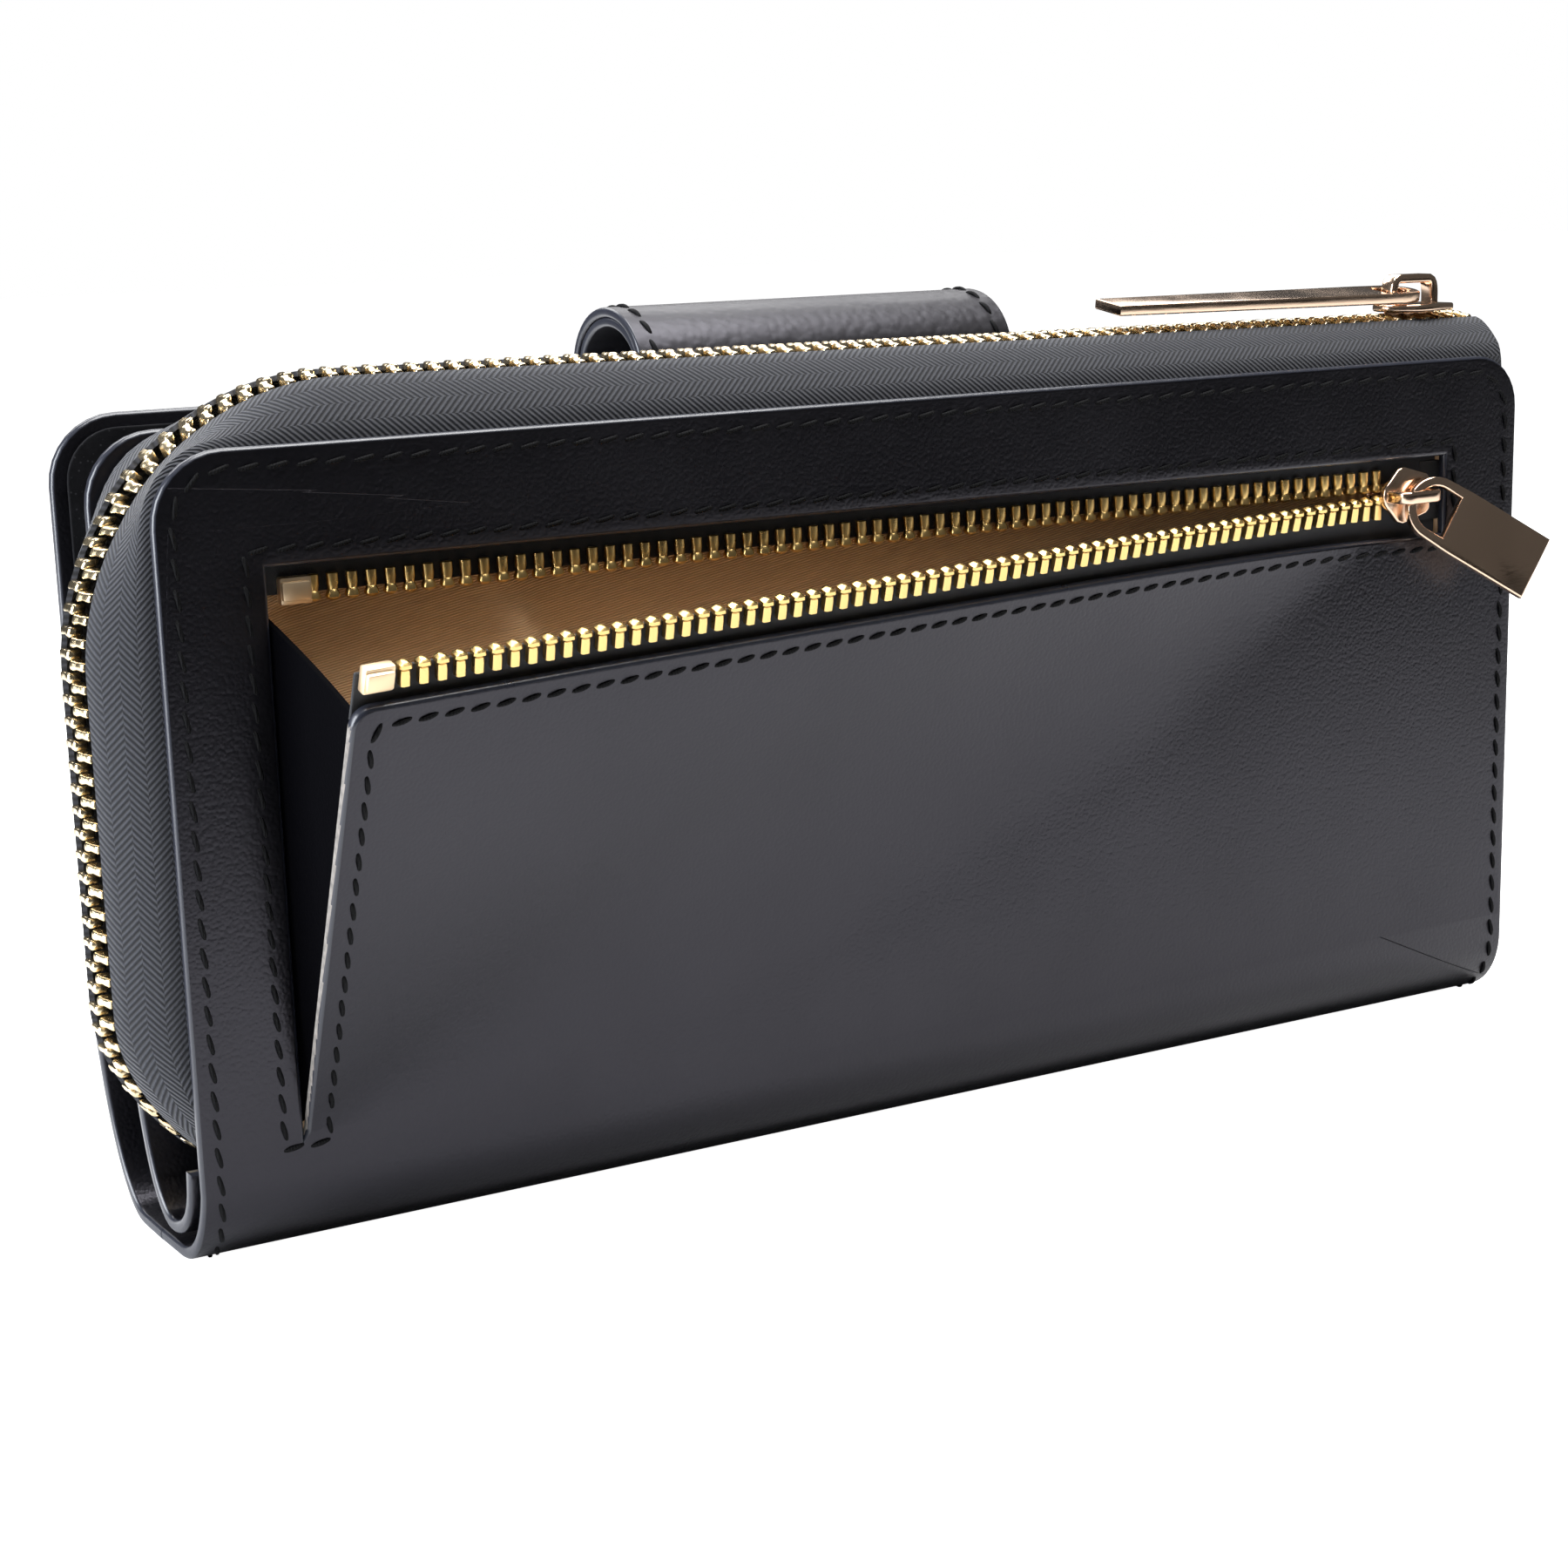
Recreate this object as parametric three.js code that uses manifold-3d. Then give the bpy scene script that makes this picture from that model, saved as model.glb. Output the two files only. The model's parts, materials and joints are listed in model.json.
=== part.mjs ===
// Zip around wallet: an upright long wallet with an L-shaped zip, a coin pocket on the
// back and a card fold at the front that a leather tab holds shut.
//
// Millimetres. X runs along the wallet, -Y is the back with the coin pocket, +Z is up.
// The origin is the middle of the flat strip of spine that the wallet stands on.
import * as THREE from 'three';
import { mergeVertices } from 'three/addons/utils/BufferGeometryUtils.js';
import Module from 'manifold-3d';

const wasm = await Module();
wasm.setup();

// ---- driving dimensions ----
const HALF_LENGTH = 95;
const BACK_HEIGHT = 90.5;
const COVER_HEIGHT = 92.7;
const COVER_OVERHANG = 2.5;
const HALF_DEPTH = 15.5;
const CORNER_RADIUS = 8;
const GAP = 0.3;

const LEATHER = 1.4;
const COVER_LEATHER = 1.6;
const SPINE_LEATHER = 1.8;
const LINING = 0.5;

// spine, seen from the end
const SPINE_FLAT_BACK = -8;
const SPINE_FLAT_FRONT = 4;
const SPINE_BACK_RISE = 9;
const SPINE_FRONT_RISE = 24;

// main zip
const CREST_Y = -5;
const CREST_RISE = 5.6;
const CREST_SLOPE = -0.009;
const CHAIN_RADIUS = 30;
const CHAIN_HALF_WIDTH = 2.9;
const CHAIN_THICKNESS = 1.6;
const TAPE_THICKNESS = 0.6;
const TAPE_FOOT = -6.5;
const ZIP_END_Z = 12;
const ZIP_RIGHT_X = 94;
const SIDE_TILT = 0.14;
const TOP_TILT = 0.07;

// divider and card fold
const DIVIDER_Y = 1.6;
const DIVIDER_LEATHER = 1.6;
const DIVIDER_TOP = 91.5;
const POCKET_SHEET = 0.7;

// coin pocket
const CUT_LEFT = -83;
const CUT_RIGHT = 82.3;
const CUT_TOP = 77.6;
const FLAP_TOP = 67.1;
const FLAP_LEFT_TOP = 68.3;
const SLIT_BOTTOM = 14;
const FOLD_END_X = 76;
const FOLD_END_Z = 72;
const FLAP_OPEN = THREE.MathUtils.degToRad(22.5);
const COIN_CHAIN_Z = 72.9;
const COIN_ROW = 3;
const COIN_ROW_DEPTH = 1.7;
const COIN_CHAIN_LEFT = -77.5;
const COIN_CHAIN_RIGHT = 69.5;
const COIN_SLIDER_X = 75.2;

// sliders and pullers
const SLIDER_PLATE = 1;
const POST_HALF = 0.12;
const MAIN_SLIDER_X = 84.8;
const MAIN_PULLER_LENGTH = 50.5;
const MAIN_PULLER_ROLL = THREE.MathUtils.degToRad(8);
const COIN_PULLER_DROOP = THREE.MathUtils.degToRad(33);
const COIN_PULLER_LIFT = THREE.MathUtils.degToRad(16);

// tab over the top edge
const TAB_LEFT = -30;
const TAB_RIGHT = 23;
const TAB_LEATHER = 2.4;
const TAB_END_Z = 58;

const wallet = new THREE.Group();
const palette = {
  blackLeather: { color: 0x16161a, roughness: 0.42, metalness: 0 },
  suede: { color: 0x0b0b0c, roughness: 0.95, metalness: 0 },
  tape: { color: 0x1d1d20, roughness: 0.85, metalness: 0 },
  twill: { color: 0xa07a4a, roughness: 0.8, metalness: 0 },
  board: { color: 0x6b5a45, roughness: 0.9, metalness: 0 },
  goldTeeth: { color: 0xd6ae5f, roughness: 0.25, metalness: 1 },
  roseGold: { color: 0xdcb08c, roughness: 0.18, metalness: 1 },
  steel: { color: 0xb9babd, roughness: 0.3, metalness: 1 },
};

function add(name, geometry, finish, parent = wallet) {
  const mesh = new THREE.Mesh(geometry, new THREE.MeshStandardMaterial(palette[finish]));
  mesh.name = name;
  parent.add(mesh);
  return mesh;
}

// ---- shape helpers ----

// A closed rectangle outline; radii run bottom left, bottom right, top right, top left.
function roundedRect(x0, z0, x1, z1, radii) {
  const [bl, br, tr, tl] = radii;
  const shape = new THREE.Shape();
  shape.moveTo(x0 + bl, z0);
  shape.lineTo(x1 - br, z0);
  if (br > 0) shape.absarc(x1 - br, z0 + br, br, -Math.PI / 2, 0, false);
  shape.lineTo(x1, z1 - tr);
  if (tr > 0) shape.absarc(x1 - tr, z1 - tr, tr, 0, Math.PI / 2, false);
  shape.lineTo(x0 + tl, z1);
  if (tl > 0) shape.absarc(x0 + tl, z1 - tl, tl, Math.PI / 2, Math.PI, false);
  shape.lineTo(x0, z0 + bl);
  if (bl > 0) shape.absarc(x0 + bl, z0 + bl, bl, Math.PI, 1.5 * Math.PI, false);
  return shape;
}

function polygon(points) {
  return new THREE.Shape(points.map(([x, z]) => new THREE.Vector2(x, z)));
}

// An outline in the XZ plane, given thickness from one Y to another.
function sheet(shape, yLow, yHigh, curveSegments = 5) {
  const depth = yHigh - yLow;
  const geometry = new THREE.ExtrudeGeometry(shape, { depth, bevelEnabled: false, curveSegments });
  geometry.rotateX(Math.PI / 2);
  geometry.translate(0, yHigh, 0);
  return geometry;
}

// A closed skin through rings of equal point count, with both ends capped.
function loft(rings) {
  const count = rings[0].length;
  const position = rings.flat().flatMap((p) => [p.x, p.y, p.z]);
  const index = [];
  for (let r = 0; r + 1 < rings.length; r += 1) {
    for (let i = 0; i < count; i += 1) {
      const a = r * count + i;
      const b = r * count + ((i + 1) % count);
      index.push(a, b, b + count, a, b + count, a + count);
    }
  }
  for (const [start, flip] of [[0, true], [(rings.length - 1) * count, false]]) {
    const half = count / 2;
    for (let i = 0; i + 1 < half; i += 1) {
      const quad = [start + i, start + i + 1, start + count - 2 - i, start + count - 1 - i];
      const [a, b, c, d] = flip ? quad.reverse() : quad;
      index.push(a, b, c, a, c, d);
    }
  }
  const geometry = new THREE.BufferGeometry();
  geometry.setAttribute('position', new THREE.Float32BufferAttribute(position, 3));
  geometry.setIndex(index);
  return signedVolume(geometry) < 0 ? insideOut(geometry) : geometry;
}

function signedVolume(geometry) {
  const p = geometry.getAttribute('position');
  const index = geometry.getIndex().array;
  const [a, b, c] = [new THREE.Vector3(), new THREE.Vector3(), new THREE.Vector3()];
  let six = 0;
  for (let i = 0; i < index.length; i += 3) {
    a.fromBufferAttribute(p, index[i]);
    b.fromBufferAttribute(p, index[i + 1]);
    c.fromBufferAttribute(p, index[i + 2]);
    six += a.dot(b.cross(c));
  }
  return six / 6;
}

function insideOut(geometry) {
  const index = geometry.getIndex().array;
  for (let i = 0; i < index.length; i += 3) {
    const first = index[i];
    index[i] = index[i + 1];
    index[i + 1] = first;
  }
  return geometry;
}

// Leather or cloth that follows a line of [y, z] points seen from the end, thickened to
// its inner side and running in X between two edges that may change along the line.
function wrap(line, thickness, leftX, rightX) {
  const last = line.length - 1;
  const rings = line.map(([y, z], i) => {
    const [y0, z0] = line[Math.max(i - 1, 0)];
    const [y1, z1] = line[Math.min(i + 1, last)];
    const long = Math.hypot(y1 - y0, z1 - z0);
    const inY = (-(z1 - z0) / long) * thickness;
    const inZ = ((y1 - y0) / long) * thickness;
    const t = i / last;
    return [
      new THREE.Vector3(leftX(t), y, z),
      new THREE.Vector3(rightX(t), y, z),
      new THREE.Vector3(rightX(t), y + inY, z + inZ),
      new THREE.Vector3(leftX(t), y + inY, z + inZ),
    ];
  });
  return loft(rings);
}

// Points of a quarter ellipse from one angle to another, without its first point.
function arcPoints(cy, cz, ry, rz, from, to, steps) {
  const points = [];
  for (let i = 1; i <= steps; i += 1) {
    const a = from + ((to - from) * i) / steps;
    points.push([cy + ry * Math.cos(a), cz + rz * Math.sin(a)]);
  }
  return points;
}

function toSolid(geometry) {
  const bare = geometry.clone();
  bare.deleteAttribute('normal');
  bare.deleteAttribute('uv');
  const merged = mergeVertices(bare, 1e-4);
  return new wasm.Manifold(new wasm.Mesh({
    numProp: 3,
    vertProperties: new Float32Array(merged.getAttribute('position').array),
    triVerts: new Uint32Array(merged.getIndex().array),
  }));
}

function fromSolid(solid) {
  const mesh = solid.getMesh();
  const geometry = new THREE.BufferGeometry();
  geometry.setAttribute('position', new THREE.Float32BufferAttribute(mesh.vertProperties, 3));
  geometry.setIndex(Array.from(mesh.triVerts));
  return geometry;
}

function union(...geometries) {
  return fromSolid(geometries.map(toSolid).reduce((whole, next) => whole.add(next)));
}

// ---- spine: one strip of cover leather that the wallet stands on ----
const spineLine = [
  [-HALF_DEPTH, SPINE_BACK_RISE + 1],
  [-HALF_DEPTH, SPINE_BACK_RISE],
  ...arcPoints(SPINE_FLAT_BACK, SPINE_BACK_RISE, HALF_DEPTH + SPINE_FLAT_BACK, SPINE_BACK_RISE,
    Math.PI, 1.5 * Math.PI, 8),
  [SPINE_FLAT_FRONT, 0],
  ...arcPoints(SPINE_FLAT_FRONT, SPINE_FRONT_RISE, HALF_DEPTH - SPINE_FLAT_FRONT, SPINE_FRONT_RISE,
    -Math.PI / 2, 0, 9),
];
const spineLeft = (t) => -HALF_LENGTH - COVER_OVERHANG * t;
add('outer_spine', wrap(spineLine, SPINE_LEATHER, spineLeft, () => HALF_LENGTH), 'blackLeather');

// ---- divider: the wall between the zip compartment and the card fold ----
const DIVIDER_FOOT = 24;
const dividerLeft = -HALF_LENGTH - COVER_OVERHANG + 0.5;
const dividerOutline = roundedRect(dividerLeft, DIVIDER_FOOT, HALF_LENGTH - 1, DIVIDER_TOP,
  [0, 0, CORNER_RADIUS, CORNER_RADIUS]);
add('divider_panel', sheet(dividerOutline, DIVIDER_Y, DIVIDER_Y + DIVIDER_LEATHER), 'blackLeather');

const INNER_SPINE_FLOOR = 2.5;
const INNER_SPINE_BACK = -12.9;
const innerFloorY = -6;
const innerSpineLine = [
  [INNER_SPINE_BACK, 11.3],
  ...arcPoints(innerFloorY, 9, innerFloorY - INNER_SPINE_BACK, 9 - INNER_SPINE_FLOOR,
    Math.PI, 1.5 * Math.PI, 6),
  ...arcPoints(innerFloorY, DIVIDER_FOOT, DIVIDER_Y + DIVIDER_LEATHER - innerFloorY,
    DIVIDER_FOOT - INNER_SPINE_FLOOR, -Math.PI / 2, -0.04, 8),
];
const innerLeft = (t) => -HALF_LENGTH - 0.4 - 1.8 * t;
add('inner_spine', wrap(innerSpineLine, DIVIDER_LEATHER, innerLeft, () => HALF_LENGTH - 1.5),
  'blackLeather');

for (let i = 0; i < 3; i += 1) {
  const y = DIVIDER_Y + DIVIDER_LEATHER + GAP + i * (POCKET_SHEET + GAP);
  const top = 80 - i * 13;
  const outline = roundedRect(-HALF_LENGTH + 3, 27, HALF_LENGTH - 5, top, [2, 2, 2, 2]);
  add(`divider_card_pocket_${i + 1}`, sheet(outline, y, y + POCKET_SHEET, 2), 'blackLeather');
}

const partitionOutline = roundedRect(-HALF_LENGTH + 7, 10, HALF_LENGTH - 7, 82, [2, 2, 4, 4]);
add('note_partition', sheet(partitionOutline, CREST_Y + 0.4, CREST_Y + 0.9, 3), 'suede');

const SIDE_GUSSET_X = 90.6;
const gussetOutline = roundedRect(SIDE_GUSSET_X, 30, SIDE_GUSSET_X + 0.6, 83.5, [0, 0, 0, 0]);
add('side_gusset', sheet(gussetOutline, -9.9, 0.4), 'blackLeather');

// ---- main zip: top edge, round the corner and down the left end ----

// Stations along the zip, each with the panel edge point, the outward direction and how
// far along the left end the station is.
function zipStations() {
  const stations = [];
  const cornerX = -HALF_LENGTH + CORNER_RADIUS;
  const cornerZ = BACK_HEIGHT - CORNER_RADIUS;
  for (const x of [ZIP_RIGHT_X, 60, 20, -20, -60, -70, -76, -82, cornerX]) {
    stations.push({ x, z: BACK_HEIGHT, outX: 0, outZ: 1, side: 0, end: 0, run: x });
  }
  for (let i = 1; i <= 8; i += 1) {
    const a = Math.PI / 2 + (Math.PI / 2) * (i / 8);
    const side = i / 8;
    const x = cornerX + CORNER_RADIUS * Math.cos(a);
    const z = cornerZ + CORNER_RADIUS * Math.sin(a);
    stations.push({ x, z, outX: Math.cos(a), outZ: Math.sin(a), side, end: 0, run: cornerX });
  }
  const tuckStart = ZIP_END_Z + 17;
  for (const z of [77, 71, 65, 40, tuckStart]) {
    stations.push({ x: -HALF_LENGTH, z, outX: -1, outZ: 0, side: 1, end: 0, run: cornerX });
  }
  for (let i = 1; i <= 6; i += 1) {
    const t = i / 6;
    const z = tuckStart + (ZIP_END_Z - tuckStart) * t;
    const end = t * t;
    stations.push({ x: -HALF_LENGTH, z, outX: -1, outZ: 0, side: 1, end, run: cornerX });
  }
  return stations;
}

// Round the corner the chain follows a wider arc than the rim, so its crest dips there.
function cornerDip({ x, z, outX, outZ }) {
  const fromX = x + HALF_LENGTH + CREST_RISE - CHAIN_RADIUS;
  const fromZ = z - BACK_HEIGHT - CREST_RISE + CHAIN_RADIUS;
  if (fromX >= 0 || fromZ <= 0) return 0;
  const along = fromX * outX + fromZ * outZ;
  const reach = Math.sqrt(along ** 2 + CHAIN_RADIUS ** 2 - fromX ** 2 - fromZ ** 2) - along;
  return CREST_RISE - reach;
}

// Turns a [rise, y] section point into a place at one station. Points on the crest lean
// with the chain, and at the lower end the whole section tucks in behind the back panel.
function zipPoint(station, rise, y, crest) {
  const tilt = TOP_TILT + (SIDE_TILT - TOP_TILT) * station.side;
  const slope = CREST_SLOPE * station.run + tilt * (y - CREST_Y);
  const lift = (slope - cornerDip(station)) * crest;
  const tuck = 8.5 * station.end * (rise - TAPE_FOOT) / (CREST_RISE - TAPE_FOOT);
  const pinch = 3.4 * station.end * (y + HALF_DEPTH - 1.9) / 14.9;
  const out = rise + lift - tuck;
  return new THREE.Vector3(station.x + station.outX * out, y - pinch, station.z + station.outZ * out);
}

// A strip of constant thickness along a section line of [rise, y, crest share] points.
function zipStrip(section, thickness) {
  const offset = section.map(([rise, y, crest], i) => {
    const [r0, y0] = section[Math.max(i - 1, 0)];
    const [r1, y1] = section[Math.min(i + 1, section.length - 1)];
    const long = Math.hypot(r1 - r0, y1 - y0);
    const dRise = -(Math.abs(y1 - y0) / long) * thickness;
    const dY = (Math.sign(y1 - y0) * (r1 - r0) / long) * thickness;
    return [rise + dRise, y + dY, crest];
  });
  const ring = [...section, ...offset.reverse()];
  return loft(zipStations().map((s) => ring.map(([rise, y, crest]) => zipPoint(s, rise, y, crest))));
}

const chainTop = CREST_RISE + CHAIN_THICKNESS / 2;
const tapeRise = CREST_RISE + TAPE_THICKNESS / 2;
const tapeEdge = CHAIN_HALF_WIDTH + GAP;
const nearRow = [[chainTop, CREST_Y - CHAIN_HALF_WIDTH, 1], [chainTop, CREST_Y - GAP / 2, 1]];
const farRow = [[chainTop, CREST_Y + GAP / 2, 1], [chainTop, CREST_Y + CHAIN_HALF_WIDTH, 1]];
const nearTape = [
  [TAPE_FOOT, -13.6, 0], [0.5, -13.4, 0], [3.4, -11.6, 0.5], [tapeRise - 0.5, -9.6, 0.9],
  [tapeRise, CREST_Y - tapeEdge, 1],
];
const farTape = [
  [tapeRise, CREST_Y + tapeEdge, 1], [tapeRise - 0.5, -0.9, 0.9], [3.4, 0.6, 0.5], [0.5, 1.2, 0],
  [TAPE_FOOT, 1.3, 0],
];
const backHalf = new THREE.Group();
wallet.add(backHalf);
add('zip_chain_far', zipStrip(farRow, CHAIN_THICKNESS), 'goldTeeth');
add('zip_tape_far', zipStrip(farTape, TAPE_THICKNESS), 'tape');
add('zip_chain_near', zipStrip(nearRow, CHAIN_THICKNESS), 'goldTeeth', backHalf);
add('zip_tape_near', zipStrip(nearTape, TAPE_THICKNESS), 'tape', backHalf);

// ---- back half: leather panel with the coin pocket cut into it ----
const foldSlope = (FOLD_END_Z - SLIT_BOTTOM) / (FOLD_END_X - CUT_LEFT);
const foldAxis = new THREE.Vector3(1, 0, foldSlope).normalize();
const foldPivot = new THREE.Vector3(CUT_LEFT, -HALF_DEPTH, SLIT_BOTTOM);
const foldX = (z) => CUT_LEFT + (z - SLIT_BOTTOM) / foldSlope;

const panelOutline = roundedRect(-HALF_LENGTH, SPINE_BACK_RISE + 1 + GAP, HALF_LENGTH, BACK_HEIGHT,
  [0, 0, CORNER_RADIUS - 1, CORNER_RADIUS]);
panelOutline.holes.push(new THREE.Path([
  new THREE.Vector2(CUT_LEFT, SLIT_BOTTOM),
  new THREE.Vector2(CUT_LEFT, CUT_TOP),
  new THREE.Vector2(CUT_RIGHT, CUT_TOP),
  new THREE.Vector2(CUT_RIGHT, FLAP_TOP),
  new THREE.Vector2(foldX(FLAP_TOP), FLAP_TOP),
]));
add('back_panel', sheet(panelOutline, -HALF_DEPTH, -HALF_DEPTH + LEATHER), 'blackLeather', backHalf);

const liningOutline = roundedRect(-HALF_LENGTH + 3, 13.5, HALF_LENGTH - 3, BACK_HEIGHT - 4, [1, 1, 5, 5]);
add('back_lining', sheet(liningOutline, -10.9, -10.9 + LINING, 3), 'suede', backHalf);

// coin bag: a shallow cloth tray behind the cut
function bagOutline(inset) {
  return roundedRect(CUT_LEFT - 1.2 + inset, 12.8 + inset, CUT_RIGHT + 1.2 - inset,
    CUT_TOP + 3.4 - inset, Array(4).fill(2 - inset));
}
const bagRim = bagOutline(0);
bagRim.holes.push(bagOutline(LINING));
const bagBack = sheet(bagOutline(0), -11.7, -11.2, 2);
add('coin_bag', union(bagBack, sheet(bagRim, -13.8, -11.5, 2)), 'twill', backHalf);

const upperRowLow = COIN_CHAIN_Z + GAP / 2;
const rowFront = -HALF_DEPTH + 0.6;
const rowBack = rowFront + COIN_ROW_DEPTH;
const upperTape = polygon([[CUT_LEFT + 0.3, upperRowLow + COIN_ROW + GAP], [CUT_RIGHT - 0.3,
  upperRowLow + COIN_ROW + GAP], [CUT_RIGHT - 0.3, CUT_TOP + 2.4], [CUT_LEFT + 0.3, CUT_TOP + 2.4]]);
add('coin_tape_upper', sheet(upperTape, -13.8, -13.3), 'tape', backHalf);
const upperRow = roundedRect(COIN_CHAIN_LEFT, upperRowLow, COIN_CHAIN_RIGHT, upperRowLow + COIN_ROW,
  [0, 0, 0, 0]);
add('coin_chain_upper', sheet(upperRow, rowFront, rowBack), 'goldTeeth', backHalf);
const STOP_LENGTH = 3.6;
const upperStop = roundedRect(COIN_CHAIN_LEFT - GAP - STOP_LENGTH, upperRowLow, COIN_CHAIN_LEFT - GAP,
  upperRowLow + COIN_ROW, [0.4, 0.4, 0.4, 0.4]);
add('coin_stop_upper', sheet(upperStop, rowFront - 0.3, rowBack, 2), 'goldTeeth', backHalf);

// coin flap: turns about the diagonal from the foot of the slit to the coin slider
const flap = new THREE.Group();
flap.position.copy(foldPivot);
flap.quaternion.setFromAxisAngle(foldAxis, FLAP_OPEN);
backHalf.add(flap);
function addToFlap(name, geometry, finish) {
  geometry.translate(-foldPivot.x, -foldPivot.y, -foldPivot.z);
  add(name, geometry, finish, flap);
}
const flapLeft = CUT_LEFT + 0.4;
const flapOutline = new THREE.Shape();
flapOutline.moveTo(flapLeft, SLIT_BOTTOM + 1.2);
flapOutline.lineTo(foldX(FLAP_TOP) - 1.4, FLAP_TOP);
flapOutline.lineTo(flapLeft + 2, FLAP_LEFT_TOP);
flapOutline.absarc(flapLeft + 2, FLAP_LEFT_TOP - 2, 2, Math.PI / 2, Math.PI, false);
addToFlap('coin_flap', sheet(flapOutline, -HALF_DEPTH, -HALF_DEPTH + LEATHER), 'blackLeather');
const flapLining = polygon([[flapLeft + 1.5, SLIT_BOTTOM + 4], [foldX(FLAP_TOP) - 6, FLAP_TOP - 1.5],
  [flapLeft + 1.5, FLAP_TOP - 1.5]]);
addToFlap('coin_flap_lining', sheet(flapLining, -13.8, -13.3), 'twill');
const lowerRowHigh = COIN_CHAIN_Z - GAP / 2;
const LOWER_ROW_END = 63;
const lowerTape = polygon([[CUT_LEFT + 1.2, FLAP_TOP - 1.2], [58, FLAP_TOP - 1.2],
  [58, lowerRowHigh - COIN_ROW - GAP], [CUT_LEFT + 1.2, lowerRowHigh - COIN_ROW - GAP]]);
addToFlap('coin_tape_lower', sheet(lowerTape, -13.8, -13.3), 'tape');
const lowerRow = roundedRect(COIN_CHAIN_LEFT, lowerRowHigh - COIN_ROW, LOWER_ROW_END, lowerRowHigh,
  [0, 0, 0, 0]);
addToFlap('coin_chain_lower', sheet(lowerRow, rowFront, rowBack), 'goldTeeth');
const lowerStop = roundedRect(COIN_CHAIN_LEFT - GAP - STOP_LENGTH, lowerRowHigh - COIN_ROW,
  COIN_CHAIN_LEFT - GAP, lowerRowHigh, [0.4, 0.4, 0.4, 0.4]);
addToFlap('coin_stop_lower', sheet(lowerStop, rowFront - 0.3, rowBack, 2), 'goldTeeth');

// coin gusset: a leather triangle from the frame's cut edge to the flap's left edge
function onOpenFlap(x, z, depth) {
  const place = new THREE.Vector3(x, -HALF_DEPTH + depth, z).sub(foldPivot);
  return place.applyQuaternion(flap.quaternion).add(foldPivot);
}
const gussetRings = [];
for (let i = 0; i <= 4; i += 1) {
  const t = i / 4;
  const atFrame = new THREE.Vector3(CUT_LEFT + 0.5, -13.4, SLIT_BOTTOM + 5 + 53 * t);
  const atFlap = onOpenFlap(flapLeft + 0.9, SLIT_BOTTOM + 6 + 44 * t, LEATHER + 0.4);
  const across = new THREE.Vector3(0.5, 0, 0);
  gussetRings.push([atFrame, atFlap, atFlap.clone().add(across), atFrame.clone().add(across)]);
}
add('coin_gusset', loft(gussetRings), 'blackLeather', backHalf);

// ---- sliders and pullers ----

// A slider in its own frame: X along the chain, Y across it, Z out of the wallet, with
// the middle of the chain at Z 0. Two plates, a post between the rows and a bridge.
function sliderBody({ length, wide, narrow, chain, bridge }) {
  const plan = new THREE.Shape();
  plan.moveTo(-length / 2, -wide / 2 + 1);
  plan.lineTo(-length / 2 + 1, -wide / 2);
  plan.lineTo(-length / 2 + 3, -wide / 2);
  plan.lineTo(length / 2 - 0.6, -narrow / 2);
  plan.lineTo(length / 2, -narrow / 2 + 0.6);
  plan.lineTo(length / 2, narrow / 2 - 0.6);
  plan.lineTo(length / 2 - 0.6, narrow / 2);
  plan.lineTo(-length / 2 + 3, wide / 2);
  plan.lineTo(-length / 2 + 1, wide / 2);
  plan.lineTo(-length / 2, wide / 2 - 1);
  const clear = chain / 2 + GAP;
  const layer = (low, high, shape) => {
    const depth = high - low;
    return new THREE.ExtrudeGeometry(shape, { depth, bevelEnabled: false }).translate(0, 0, low);
  };
  const top = layer(clear, clear + SLIDER_PLATE, plan);
  const foot = layer(-clear - SLIDER_PLATE, -clear, plan).scale(1, 0.8, 1);
  const postPlan = new THREE.Shape();
  postPlan.moveTo(-length / 2, POST_HALF);
  postPlan.lineTo(-length / 2, -POST_HALF);
  postPlan.lineTo(length / 2, -POST_HALF);
  postPlan.lineTo(length / 2, POST_HALF);
  const post = layer(-clear - 0.2, clear + 0.2, postPlan);
  const arch = new THREE.Shape();
  const reach = bridge.reach / 2;
  const base = clear + SLIDER_PLATE - 0.2;
  arch.moveTo(-reach, base);
  arch.lineTo(-reach, base + bridge.rise - 1.6);
  arch.quadraticCurveTo(-reach, base + bridge.rise, -reach + 1.8, base + bridge.rise);
  arch.lineTo(reach - 1.8, base + bridge.rise);
  arch.quadraticCurveTo(reach, base + bridge.rise, reach, base + bridge.rise - 1.6);
  arch.lineTo(reach, base);
  arch.lineTo(reach - bridge.bar, base);
  arch.lineTo(reach - bridge.bar, base + bridge.rise - bridge.bar);
  arch.lineTo(-reach + bridge.bar, base + bridge.rise - bridge.bar);
  arch.lineTo(-reach + bridge.bar, base);
  const bar = new THREE.ExtrudeGeometry(arch, {
    depth: bridge.width, bevelEnabled: false, curveSegments: 4,
  });
  bar.rotateX(Math.PI / 2).translate(0, bridge.width / 2, 0);
  return union(top, foot, post, bar);
}

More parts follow.
